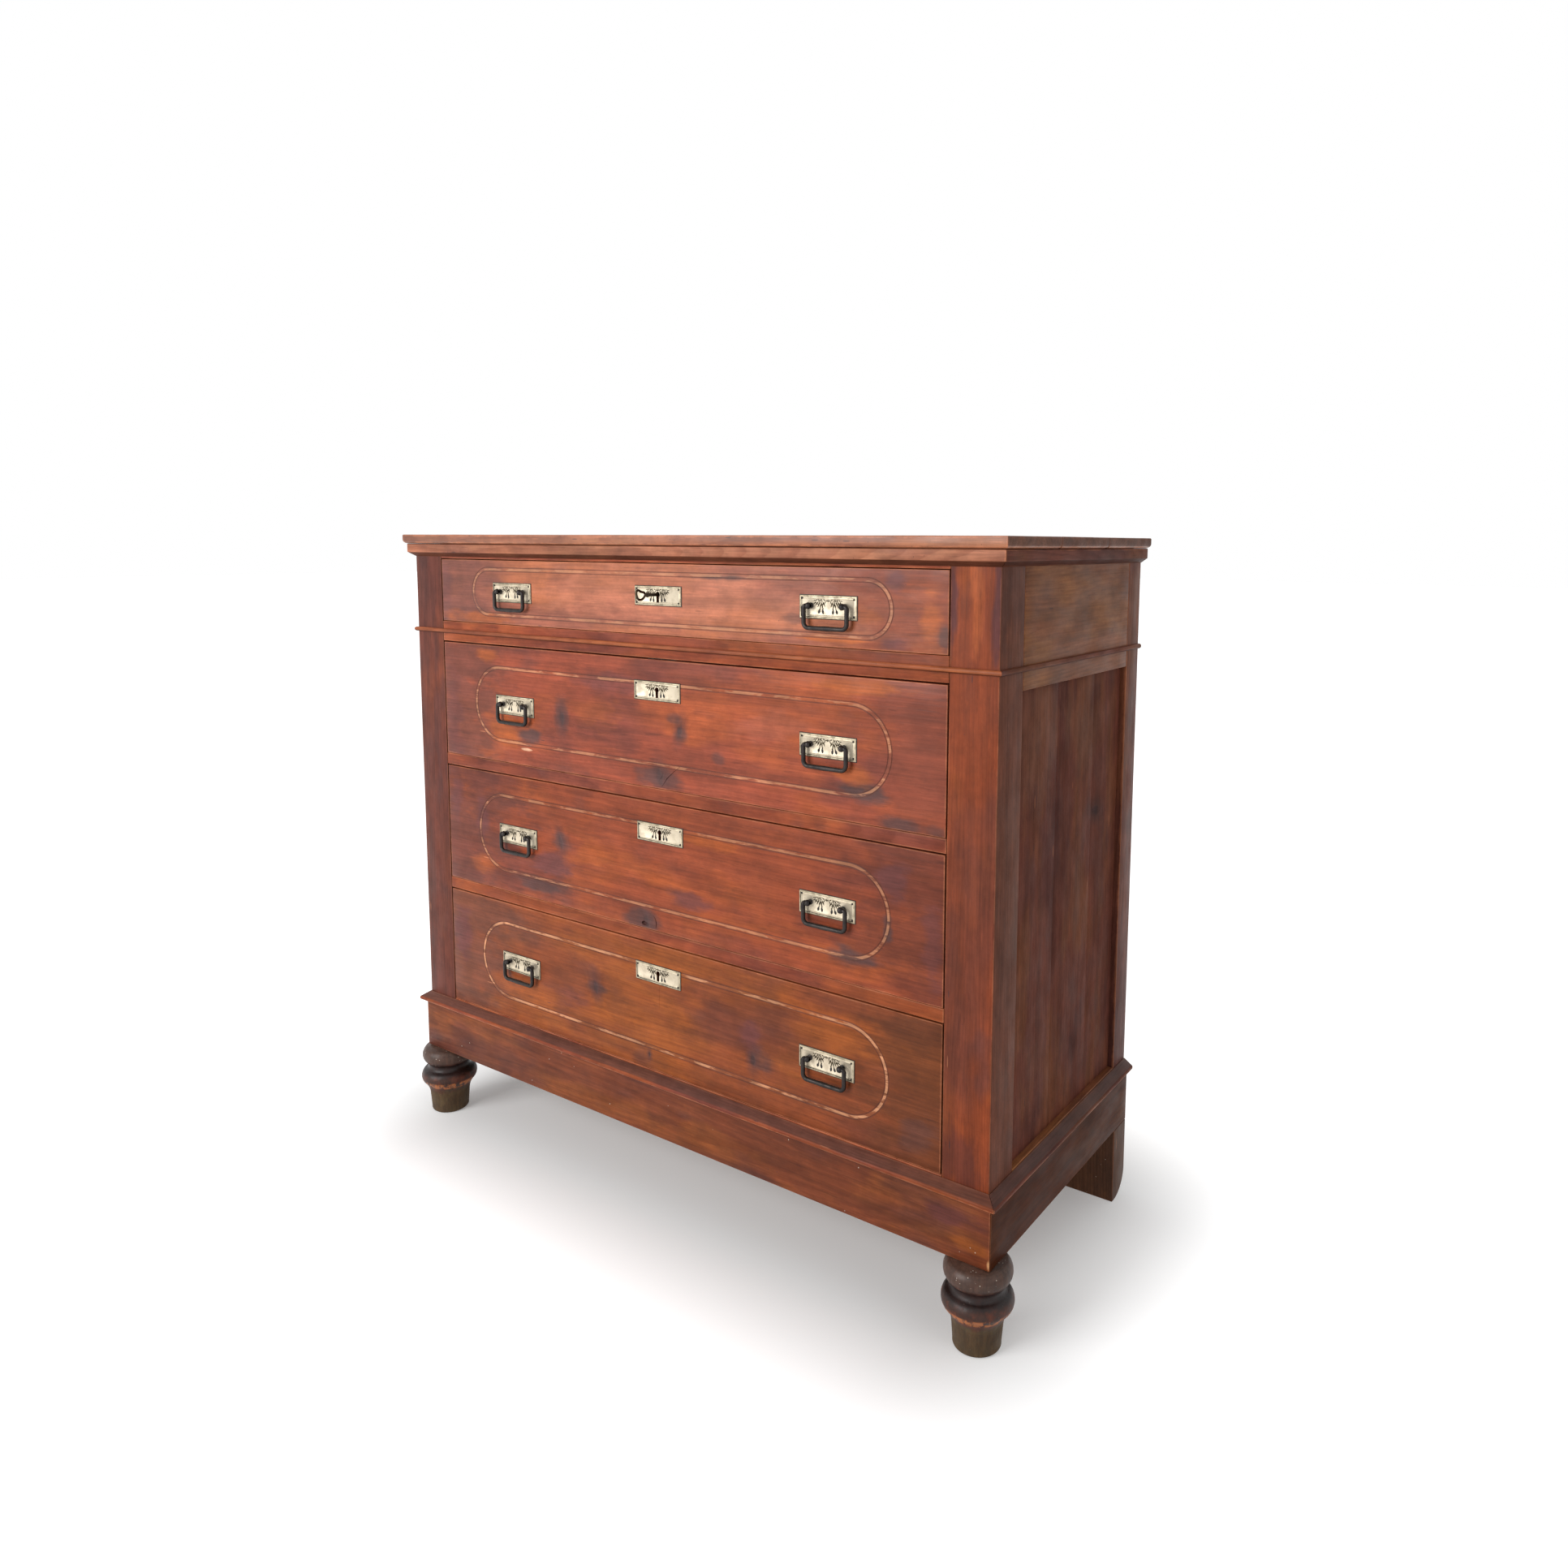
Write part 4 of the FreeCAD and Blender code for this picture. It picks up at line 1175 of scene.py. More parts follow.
# %% Foot finish
FOOT_DARK = tint(60, 35, 26)
FOOT_RED = tint(92, 47, 32)
FOOT_OLIVE = tint(85, 67, 43)
FOOT_ORANGE = tint(190, 112, 60)
FOOT_GREY = tint(82, 60, 50)
# Painted shade for the neck's hollow.
FOOT_NECK_SHADE = tint(28, 18, 18)


def band(tree, level, low, high, soft):
    """1 between two heights."""
    rise = fade(tree, level, low - soft, low + soft)
    drop = fade(tree, level, high - soft, high + soft, 1.0, 0.0)
    return product(tree, rise, drop)


def foot_finish(name, piece, seed):
    material, tree, shader = new_material(name)
    here, vector = grain_frame(tree, piece, "zx")[:2]
    level = parts_of(tree, here)[2]
    rough_cloud = cloud(tree, here, (55, 55, 55), seed, 3.0, 0.6)
    nicks = cloud(tree, here, (150, 150, 40), seed, 4.0, 0.65)
    ragged = sum_of(tree, level, either_way(tree, rough_cloud, 0.02))
    wood = use(tree, figure, Vector=vector, Seed=seed, Pith=0.0, Sway=0.01, Ring_Width=0.003)

    red = fade(tree, rough_cloud, 0.42, 0.62)
    colour = blend_colour(tree, red, FOOT_DARK, FOOT_RED)
    grey_top = product(tree, fade(tree, ragged, 0.088, 0.097), 0.9)
    colour = blend_colour(tree, grey_top, colour, FOOT_GREY)
    olive = fade(tree, ragged, 0.036, 0.050, 0.9, 0.0)
    colour = blend_colour(tree, olive, colour, FOOT_OLIVE)
    colour = blend_colour(tree, product(tree, wood["Rings"], 0.25), colour, FOOT_DARK)
    teeth = product(tree, band(tree, level, 0.0475, 0.0590, 0.0015), fade(tree, nicks, 0.42, 0.54))
    colour = blend_colour(tree, product(tree, teeth, 0.8), colour, FOOT_ORANGE)
    # Painted shade: the hollow of the neck, between the bulb and the top bead, is painted near black.
    neck_shade = band(tree, level, 0.070, 0.090, 0.003)
    colour = blend_colour(tree, product(tree, neck_shade, 0.85), colour, FOOT_NECK_SHADE)
    mottled = fade(tree, nicks, 0.35, 0.65, 0.74, 1.24)
    colour = blend_colour(tree, 1.0, colour, mottled, mode="MULTIPLY")
    dots = use(tree, specks, Vector=here, Scale=210.0, Size=0.17, Amount=0.3)["Mask"]
    dots = product(tree, dots, fade(tree, level, 0.082, 0.092, 0.06, 0.8))
    colour = blend_colour(tree, dots, colour, PALE_SPECK)
    put(tree, shader["Base Color"], colour)
    satin = fade(tree, rough_cloud, 0.3, 0.7, 0.34, 0.52)
    put(tree, shader["Roughness"], sum_of(tree, satin, product(tree, olive, 0.22)))
    shader["Specular IOR Level"].default_value = 0.3
    grain = product(tree, nicks, olive, 0.0005)
    relief(tree, shader, sum_of(tree, product(tree, rough_cloud, 0.0011), grain))
    return material


print("foot finish ready")

# %% [markdown]
# The left foot is the right one's mirror copy, with a finish of its own. A seeded
# draw nicks the ring where the bulb starts, and a small lump cuts the bead's chip.

# %% Turned front feet
BEAD_CHIP = Vector((-0.13, -0.99, 0))


def nicked_foot(name):
    axis = Vector((FOOT_AXIS[0], FOOT_AXIS[1], 0))
    foot = turned(name, RING_POINTS, foot_outline, FOOT_AXIS)

    draw = random.Random(7)
    for corner in foot.data.vertices:
        share = corner.co.z / FOOT_HEIGHT
        if 0.42 < share < 0.50 and draw.random() < 0.35:
            inward = axis - Vector((corner.co.x, corner.co.y, 0))
            corner.co += inward.normalized() * draw.uniform(0.4, 1.3) * MM
    place = axis + BEAD_CHIP.normalized() * 43.5 * MM + Vector((0, 0, 0.81 * FOOT_HEIGHT))
    clear_selection()
    bpy.ops.mesh.primitive_ico_sphere_add(
        subdivisions=2, radius=4 * MM, location=place, scale=(1.7, 0.8, 0.6))
    cut(foot, started("chip"))
    return smooth(uneven(foot, 0.6 * MM), 50)


right_foot = nicked_foot("turned_foot_right")
coat_with(right_foot, foot_finish("foot finish right", right_foot, 4.2))
placed(right_foot, "carcass", "stained_pine", "front_foot_right")
left_foot = copy_of(right_foot, "turned_foot_left", flip=True)
coat_with(left_foot, foot_finish("foot finish left", left_foot, 9.6))
placed(left_foot, "carcass", "stained_pine", "front_foot_left")
print("front feet,", len(right_foot.data.polygons), "faces each")

# %% [markdown]
# The rear feet can't be seen well, so the joiner only sawed blocks and rounded off
# the lower back corner, which keeps them clear of the skirting board. A bevel with
# many segments makes that round. A cheek glued inside holds each to the plinth.

# %% Rear feet
REAR_FOOT_ROUND = 38 * MM
CHEEK_SETBACK = 22 * MM
BLOCK_STAIN = shades((96, 66, 50), (116, 78, 54), (78, 56, 48), (92, 80, 62))
for side, way in SIDES:
    low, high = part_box("rear_foot_" + side)
    foot = block("rear_foot_block_" + side, low, (high.x, high.y, FOOT_HEIGHT))
    edit()
    select("EDGE", lambda p: p.y > high.y - 0.1 * MM and p.z < 0.1 * MM)
    bpy.ops.mesh.bevel(offset=REAR_FOOT_ROUND, segments=14, affect="EDGES")
    lengths_cut(0, 4)
    close_edit()
    bevel(foot, 1.5 * MM, angle=50)
    inner, outer = sorted((way * (half_width - plinth_inside), low.x if way > 0 else high.x))
    cheek = board("cheek", (inner, low.y, FOOT_HEIGHT), (outer, back_y - CHEEK_SETBACK, high.z), 2)
    foot = joined("rear_foot_block_" + side, [foot, cheek])
    smooth(uneven(foot, 0.5 * MM), 40)
    stained(foot, "carcass", "rear_foot_" + side, "zx", 66 + way, BLOCK_STAIN, wear=0.0015,
            wear_share=0.25, speckled=0.15, ring=0.004, pith=0.03, roughness=0.5)
print("rear feet")

# %% [markdown]
# A drawer front is one board, and everything on it is cut in: the scratched line,
# the keyhole, the recess for the lock and the dovetail sockets at both ends. The
# cutters are simple meshes used once. A torus whose two halves are drawn apart is a
# round-ended ring, which is just the groove that the joiner's scratch stock leaves.

# %% Cutters for a drawer front
LINE_END_MARGIN = 76 * MM
LINE_MARGINS = (11 * MM, 31 * MM, 31 * MM, 31 * MM)
LINE_WIDTH = 7 * MM
QUIRK = 1.5 * MM
KEYHOLE_DROP = 43 * MM
KEYHOLE_RADIUS = 3.4 * MM
KEYHOLE_SLOT = 4 * MM
KEYHOLE_LENGTH = 11 * MM
SIDE_THICKNESS = 13 * MM
SIDE_DROP = 6 * MM
TAIL_LENGTH = 14 * MM
TAIL_PITCH = 46 * MM
TAIL_SHARE = 0.62
TAIL_SLOPE = 1 / 6
PAST = 1 * MM


def groove_ring(level, half_length, radius):
    """A torus drawn out to a round-ended ring, half sunk in the front's face."""
    run = half_length - radius
    clear_selection()
    bpy.ops.mesh.primitive_torus_add(
        location=(0, front_y - 0.25 * MM, level),
        rotation=ALONG_Y,
        major_segments=58,
        minor_segments=8,
        major_radius=radius,
        minor_radius=QUIRK / 2,
    )
    ring = started("groove")
    edit()
    for way in (1, -1):
        select("VERT", lambda p: p.x * way > 0)
        bpy.ops.transform.translate(value=(way * run, 0, 0))
    close_edit()
    return ring


def keyhole_cutters(middle, level, start, end, wider=0.0):
    """A round bar and a slab below it, from one depth to another."""
    centre = (middle, (start + end) / 2, level)
    hole = bar("keyhole", 32, KEYHOLE_RADIUS + wider, end - start, centre, ALONG_Y)
    half = KEYHOLE_SLOT / 2 + wider
    slot_low = (middle - half, start, level - KEYHOLE_LENGTH - wider)
    slot = block("slot", slot_low, (middle + half, end, level))
    return joined("keyhole", [hole, slot])


def tail_cutters(low, high):
    """Dovetail sockets at both ends: blocks whose front face is spread."""
    side_top = high.z - SIDE_DROP
    count = max(2, round((side_top - low.z) / TAIL_PITCH))
    pitch = (side_top - low.z) / count
    narrow = pitch * TAIL_SHARE / 2
    spread = 1 + TAIL_LENGTH * TAIL_SLOPE / narrow
    cutters = []
    for way in (-1, 1):
        inner, outer = side_span(way, high.x - SIDE_THICKNESS, high.x + PAST)
        for index in range(count):
            level = low.z + (index + 0.5) * pitch
            start = high.y - TAIL_LENGTH
            tail = block("tail", (inner, start, level - narrow), (outer, high.y, level + narrow))
            edit()
            select("FACE", lambda p: p.y < start + 0.1 * MM)
            bpy.ops.transform.resize(value=(1, 1, spread), center_override=(0, start, level))
            close_edit()
            cutters.append(tail)
    return cutters


print("cutters ready")

# %% [markdown]
# Old boards have faults that people notice: a knot that fell out and left a hole
# with a curved crack beside it, a split through a knot, and a chip knocked out over
# the second drawer's line. A lump with a seeded jitter cuts the holes, so they come
# out the same each time, and a thin wedge cuts the splits.

# %% Knot holes, chips and splits
def lump(place, half_sizes, seed):
    """A rough egg shape on the drawer's face."""
    draw = random.Random(seed)
    centre = Vector((place[0], front_y, place[1]))
    clear_selection()
    bpy.ops.mesh.primitive_ico_sphere_add(subdivisions=2, radius=1, location=centre, scale=half_sizes)
    made = started("lump")
    for corner in made.data.vertices:
        corner.co = centre + (corner.co - centre) * draw.uniform(0.7, 1.0)
    return made


def split_along(points, width, depth):
    """A thin wedge that follows a few points (along, up, share of the width)."""
    cutters = []
    for (start_x, start_z, start_share), (end_x, end_z, end_share) in zip(points, points[1:]):
        start, end = Vector((start_x, 0, start_z)), Vector((end_x, 0, end_z))
        run = end - start
        clear_selection()
        size = (run.length, depth * 2, width)
        bpy.ops.mesh.primitive_cube_add(size=1, location=(0, 0, 0), scale=size)
        wedge = started("wedge")
        edit()
        for test, share in ((lambda p: p.x < 0, start_share), (lambda p: p.x > 0, end_share)):
            select("FACE", test)
            bpy.ops.transform.resize(value=(1, share, share), center_override=(0, 0, 0))
        close_edit()
        lean = Matrix.Rotation(-math.atan2(run.z, run.x), 4, "Y")
        wedge.data.transform(Matrix.Translation((start + end) / 2 + Vector((0, front_y, 0))) @ lean)
        cutters.append(wedge)
    return cutters


def faults(number):
    """The cutters for one drawer's own faults."""
    if number == 2:
        crack = [(0.010, 0.641, 0.2), (0.022, 0.656, 1.0), (0.036, 0.668, 0.8), (0.058, 0.683, 0.1)]
        side = [(0.000, 0.645, 0.1), (0.012, 0.657, 0.6), (0.017, 0.670, 0.1)]
        return [
            lump((-0.277, 0.6665), (0.009, 0.0012, 0.0024), 2),
            lump((-0.266, 0.6650), (0.006, 0.0010, 0.0020), 5),
            *split_along(crack, 0.9 * MM, 1.5 * MM),
            *split_along(side, 0.7 * MM, 1.0 * MM),
        ]
    if number == 3:
        arc = [
            (-0.0095, 0.4500, 0.1),
            (-0.0045, 0.4450, 0.7),
            (-0.0025, 0.4380, 1.0),
            (-0.0040, 0.4310, 0.3),
        ]
        return [
            lump((-0.0265, 0.4345), (0.0062, 0.0050, 0.0042), 3),
            lump((-0.0215, 0.4335), (0.0040, 0.0030, 0.0026), 8),
            *split_along(arc, 1.3 * MM, 2.0 * MM),
        ]
    if number == 4:
        upright = [(0.0015, 0.346, 0.3), (0.0010, 0.325, 1.0), (0.0020, 0.305, 0.1)]
        return split_along(upright, 0.35 * MM, 0.8 * MM)
    level = [(0.20, 0.9530, 0.1), (0.215, 0.9534, 1.0), (0.24, 0.9528, 0.1)]
    return split_along(level, 0.5 * MM, 0.8 * MM)


print("faults ready")

# %% [markdown]
# Each front has its own board, so each has its own colours, knots and patches.
# Drawer 1's broad pink mark over its upper middle is a painted sheen, and its
# paler, pinker colours are partly painted sheen.
# They are kept as a table, and one function makes all four fronts from it.

# %% Drawer fronts
MAUVE = tint(109, 60, 56)
GREY = tint(82, 58, 56)
ORANGE = tint(182, 94, 41)
# Painted sheen: a pale pink laid over drawer 1's upper middle.
PAINTED_SHEEN_PINK = tint(194, 118, 88)
ROSE = tint(168, 92, 69)
# Painted shade inside the keyhole.
KEYHOLE_SHADE = tint(16, 10, 8)
CHIP = tint(226, 176, 142)
# Each mark is along, up, half length, half height, colour, strength.
FRONT_LOOKS = {
    1: dict(
        # Paler, pinker colours, partly painted sheen; the first mark is a painted sheen across the upper
        # middle.
        colours=shades((160, 92, 70), (186, 108, 66), (126, 74, 64)),
        marks=[(0.0, 0.918, 0.28, 0.055, PAINTED_SHEEN_PINK, 0.7), (-0.47, 0.91, 0.17, 0.3, tint(118, 66, 54), 0.65),
               (-0.38, 0.868, 0.11, 0.016, ORANGE, 0.7),
               (0.107, 0.943, 0.075, 0.005, GREY, 0.8), (0.440, 0.935, 0.045, 0.030, ORANGE, 0.8),
               (0.442, 0.890, 0.030, 0.016, ORANGE, 0.7), (0.43, 0.91, 0.16, 0.09, tint(132, 60, 34), 0.8),
               (0.400, 0.945, 0.022, 0.022, MAUVE, 0.9),
               (0.452, 0.905, 0.018, 0.034, ORANGE, 0.65), (0.395, 0.868, 0.030, 0.014, MAUVE, 0.9),
               (0.325, 0.905, 0.060, 0.020, ORANGE, 0.6),
               (0.473, 0.878, 0.014, 0.022, GREY, 0.7), (0.31, 0.870, 0.075, 0.0045, ORANGE, 0.9),
               (0.248, 0.892, 0.030, 0.012, GREY, 0.5), (-0.47, 0.91, 0.022, 0.06, MAUVE, 0.6)],
        line_strength=0.6, polish=0.3, seed=12.4, ring=0.0042, pith=0.05),
    2: dict(
        colours=shades((153, 73, 49), (175, 87, 45)),
        knots=[(-0.195, 0.724, 0.0075, 0.3), (0.047, 0.726, 0.0065, -0.8), (0.008, 0.655, 0.0085, 0.5)],
        marks=[(-0.48, 0.73, 0.22, 0.3, tint(112, 62, 50), 0.8),
               (0.48, 0.73, 0.14, 0.3, tint(124, 62, 44), 0.7),
               (-0.368, 0.810, 0.030, 0.012, ORANGE, 0.6), (-0.195, 0.728, 0.020, 0.036, GREY, 0.5),
               (-0.267, 0.688, 0.036, 0.015, GREY, 0.85), (-0.276, 0.6655, 0.012, 0.0022, CHIP, 0.9),
               (-0.272, 0.672, 0.016, 0.004, GREY, 0.7), (0.036, 0.742, 0.016, 0.010, GREY, 0.6),
               (0.052, 0.722, 0.018, 0.012, GREY, 0.65), (0.005, 0.655, 0.060, 0.022, GREY, 0.75),
               (-0.332, 0.690, 0.045, 0.030, ORANGE, 0.5), (-0.127, 0.735, 0.070, 0.030, ORANGE, 0.35),
               (0.356, 0.678, 0.045, 0.016, GREY, 0.9), (0.408, 0.647, 0.036, 0.012, GREY, 0.8),
               (0.465, 0.640, 0.020, 0.018, GREY, 0.6), (0.118, 0.695, 0.016, 0.012, GREY, 0.6),
               (0.355, 0.813, 0.090, 0.012, ORANGE, 0.7), (0.340, 0.698, 0.035, 0.020, ORANGE, 0.6),
               (-0.10, 0.785, 0.11, 0.016, MAUVE, 0.7), (-0.455, 0.70, 0.030, 0.10, MAUVE, 0.6),
               (0.20, 0.745, 0.08, 0.03, ROSE, 0.5)],
        line_strength=0.65, polish=0.2, seed=3.3, ring=0.0065, pith=0.02),
    3: dict(
        colours=shades((148, 71, 43), (168, 84, 41)),
        knots=[(-0.203, 0.528, 0.0065, 1.0), (-0.022, 0.437, 0.0080, 0.2)],
        marks=[(-0.48, 0.53, 0.24, 0.3, tint(104, 54, 44), 0.85),
               (0.48, 0.53, 0.18, 0.3, tint(106, 52, 38), 0.75),
               (-0.203, 0.528, 0.030, 0.018, GREY, 0.7), (-0.220, 0.490, 0.050, 0.030, MAUVE, 0.9),
               (-0.245, 0.452, 0.070, 0.016, GREY, 0.8), (-0.389, 0.462, 0.040, 0.018, ORANGE, 0.4),
               (-0.389, 0.540, 0.020, 0.040, MAUVE, 0.9), (-0.030, 0.440, 0.045, 0.022, GREY, 0.75),
               (0.402, 0.578, 0.030, 0.035, MAUVE, 0.9), (0.351, 0.464, 0.050, 0.016, GREY, 0.9),
               (0.394, 0.507, 0.010, 0.028, GREY, 0.9), (0.057, 0.486, 0.050, 0.018, MAUVE, 0.8),
               (-0.13, 0.52, 0.06, 0.03, ORANGE, 0.4), (-0.455, 0.56, 0.020, 0.05, MAUVE, 0.8),
               (0.46, 0.50, 0.020, 0.07, MAUVE, 0.7), (0.10, 0.575, 0.10, 0.012, ORANGE, 0.5)],
        line_strength=0.6, polish=0.16, seed=17.9, ring=0.0075, pith=0.015),
    4: dict(
        colours=shades((138, 70, 38), (160, 86, 36), (106, 56, 42)),
        knots=[(-0.132, 0.314, 0.0070, 0.7), (0.177, 0.281, 0.0060, 0.1), (-0.02, 0.235, 0.0028, 0.0)],
        marks=[(-0.48, 0.31, 0.20, 0.3, tint(112, 64, 48), 0.75),
               (0.48, 0.31, 0.17, 0.3, tint(104, 55, 30), 0.8),
               (-0.450, 0.330, 0.028, 0.060, MAUVE, 0.9), (-0.128, 0.312, 0.030, 0.012, GREY, 0.6),
               (0.172, 0.310, 0.028, 0.035, MAUVE, 0.9), (0.19, 0.285, 0.025, 0.016, GREY, 0.5),
               (0.30, 0.375, 0.10, 0.016, ORANGE, 0.6), (-0.30, 0.272, 0.10, 0.016, ORANGE, 0.4),
               (0.44, 0.26, 0.035, 0.030, GREY, 0.45), (-0.19, 0.285, 0.05, 0.018, MAUVE, 0.5)],
        line_strength=1.0, polish=0.15, seed=22.7, ring=0.0060, pith=0.025),
}


def drawer_front(number):
    name = f"drawer_{number}"
    low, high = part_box(name + "_front")
    front = block("front_" + name, low, high)
    edit()
    lengths_cut(0, 32)
    lengths_cut(2, 5)
    close_edit()
    bevel(front, 0.9 * MM)
    uneven(front, 0.3 * MM)

    level = (low.z + high.z) / 2
    radius = (high.z - low.z) / 2 - LINE_MARGINS[number - 1]
    half_length = high.x - LINE_END_MARGIN
    grooves = [
        groove_ring(level, half_length - inset, radius - inset)
        for inset in (QUIRK / 2, LINE_WIDTH - QUIRK / 2)
    ]
    cut(front, joined("grooves", grooves))

    lock_low, lock_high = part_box(name + "_lock")
    middle = (lock_low.x + lock_high.x) / 2
    recess = block("recess", lock_low, (lock_high.x, lock_high.y + PAST, lock_high.z + PAST))
    cut(front, joined("sockets", [recess, *tail_cutters(low, high)]))
    cut(front, keyhole_cutters(middle, high.z - KEYHOLE_DROP, low.y - PAST, high.y))
    for cutter in faults(number):
        cut(front, cutter)
    look = dict(FRONT_LOOKS[number])
    strength = look.pop("line_strength")
    line = (half_length, radius, LINE_WIDTH, QUIRK, strength)
    # Painted shade: the walls of the keyhole, within a ball round a point inside the front, turn near black
    # and lose their polish.
    inside_hole = Vector((middle, front_y + 8 * MM, high.z - KEYHOLE_DROP - 4 * MM))
    keyhole_shade = (inside_hole, 13.0 * MM, 11.5 * MM, KEYHOLE_SHADE, 0.0)
    smooth(front, 30)
    return stained(front, name, name + "_front", "xz", line=line, wear=0.0018, wear_share=0.45,
                   depth=0.14, roughness=0.40, zones=[keyhole_shade], **look)


for number in range(1, 5):
    front = drawer_front(number)
    print(front.name, len(front.data.polygons), "faces")

# %% [markdown]
# The fittings are two metals. The stamped plates are nickel silver, a pale and
# slightly yellow alloy that dulls to a warm grey in its hollows. The studs, handles
# and key are iron with a dark bronze finish, rubbed bright where fingers hold them.
# Both use one group, which gives a slow patina and a fine grit.

# %% Group: patina
patina, entry, result = new_group(
    "Patina",
    {"Vector": (0, 0, 0), "Scale": 60.0, "Seed": 0.0},
    ["Patches", "Grit"],
)
scale = node(patina, "ShaderNodeCombineXYZ", {axis: entry["Scale"] for axis in range(3)})
scaled = stretched(patina, entry["Vector"], scale.outputs[0])
slow = cloud(patina, scaled, None, entry["Seed"], 4.0, 0.6)
grit = cloud(patina, scaled, (14, 14, 14), entry["Seed"], 2.0)
put(patina, result["Patches"], fade(patina, slow, 0.40, 0.64))
put(patina, result["Grit"], grit)
GRIT = 0.03 * MM


def metal(name, bright, dull, seed, roughness, scale=60.0, hollow=None, metallic=1.0):
    """Two shades of one metal. A hollow is (front, back, colour, share): dirt deeper than the front."""
    material, tree, shader = new_material(name)
    here = node(tree, "ShaderNodeTexCoord").outputs["Object"]
    age = use(tree, patina, Vector=here, Scale=scale, Seed=seed)
    colour = blend_colour(tree, age["Patches"], bright, dull)
    rough = fade(tree, age["Patches"], 0.0, 1.0, roughness, roughness + 0.16)
    if hollow:
        front, back, shade, share = hollow
        deep = product(tree, fade(tree, parts_of(tree, here)[1], front, back), share)
        colour = blend_colour(tree, deep, colour, shade)
        rough = sum_of(tree, rough, product(tree, deep, 0.15))
    put(tree, shader["Base Color"], colour)
    put(tree, shader["Roughness"], rough)
    shader["Metallic"].default_value = metallic
    relief(tree, shader, sum_of(tree, product(tree, age["Grit"], GRIT), product(tree, age["Patches"], GRIT)))
    return material


PLATE_THICKNESS = 1.6 * MM
FIELD = 0.75 * MM
RELIEF = 0.45 * MM
rim_y = front_y - PLATE_THICKNESS + 0.15 * MM
plate_metal = metal("nickel silver", tint(176, 164, 140), tint(134, 124, 104), 2.0, 0.44, 90.0,
                    hollow=(rim_y, front_y - FIELD, tint(204, 192, 172), 0.75))
ornament_metal = metal("darkened relief", tint(74, 66, 50), tint(40, 35, 28), 5.0, 0.5, 260.0,
                       hollow=(front_y - FIELD - RELIEF, front_y - FIELD, tint(62, 54, 42), 0.9))
# Near black for the dark drops and the plate's inner line, and for the painted shadow round each plate.
inlay_and_shadow_metal = metal("dark inlay", tint(26, 22, 19), tint(18, 16, 15), 6.0, 0.7, metallic=0.0)
iron = metal("bronzed iron", tint(44, 37, 34), tint(29, 25, 24), 7.0, 0.34, 110.0, metallic=0.6)
bright_iron = metal("rubbed iron", tint(70, 58, 42), tint(40, 33, 26), 8.0, 0.30, 140.0, metallic=0.85)
steel = metal("lock steel", tint(150, 146, 138), tint(104, 96, 86), 9.0, 0.42)
for number in range(1, 5):
    for part in ("lock", "bolt"):
        coat_with(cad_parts[f"drawer_{number}_{part}"], steel)
print("metals ready")

# %% [markdown]
# A stamped plate has a raised rim with a bevel, a thin line inside it and a flat
# field that carries the ornament. Inset and extrude in edit mode follow that
# order from the outside in, and each new face stays selected for the next step.
# The plate is modelled once at the chest's middle line and copied to its places.

# %% A stamped plate
WELD = 0.001 * MM
PLATE_SIZE = (88 * MM, 29.5 * MM)
SHIELD_SIZE = (88 * MM, 27 * MM)
SHIELD_LOWER = 2 * MM
# How far the painted shadow reaches past each plate's edge.
SHADOW_LINE_WIDTH = 0.8 * MM


def stamped_plate(name, size, keyhole=False):
    """Rim, inner line and sunk field, on the drawers' face, centred on x 0 and z 0."""
    half = Vector((size[0] / 2, 0, size[1] / 2))
    plate = block(name, (-half.x, front_y - PLATE_THICKNESS, -half.z), (half.x, front_y, half.z))
    edit()
    select("FACE", lambda p: p.y < front_y - PLATE_THICKNESS + 0.1 * MM)
    steps = (
        (0.9 * MM, 0.0),
        (1.1 * MM, 0.0),
        (0.5 * MM, 0.75 * MM),
        (1.2 * MM, -0.25 * MM),
        (0.35 * MM, 0.3 * MM),
        (0.35 * MM, -0.25 * MM),
        (0.5 * MM, 0.3 * MM),
    )
    for width, sink in steps:
        bpy.ops.mesh.inset(thickness=width, depth=0)
        if sink:
            bpy.ops.transform.translate(value=(0, sink, 0))
    select("EDGE", lambda p: p.y < front_y - PLATE_THICKNESS + 0.1 * MM and
           (abs(p.x) > half.x - 0.1 * MM or abs(p.z) > half.z - 0.1 * MM))
    bpy.ops.mesh.bevel(offset=0.8 * MM, segments=2, affect="EDGES")
    close_edit()
    coat_with(plate, plate_metal).data.materials.append(inlay_and_shadow_metal)
    for face in plate.data.polygons:
        inward = min(half.x - abs(face.center.x), half.z - abs(face.center.z))
        if 2.0 * MM < inward < 2.7 * MM:
            face.material_index = 1
    # Painted shadow: a thin near-black sheet, a little larger than the plate, lies on the wood and shows as
    # a dark line round it.
    out = half + Vector((SHADOW_LINE_WIDTH, 0, SHADOW_LINE_WIDTH))
    shadow_sheet = block(name + "_wax", (-out.x, front_y - 0.3 * MM, -out.z), (out.x, front_y, out.z))
    if keyhole:
        for part in (plate, shadow_sheet):
            cut(part, keyhole_cutters(0, SHIELD_LOWER, front_y - 4 * MM, front_y + PAST, wider=0.5 * MM))
    return joined(name, [plate, coat_with(shadow_sheet, inlay_and_shadow_metal)])


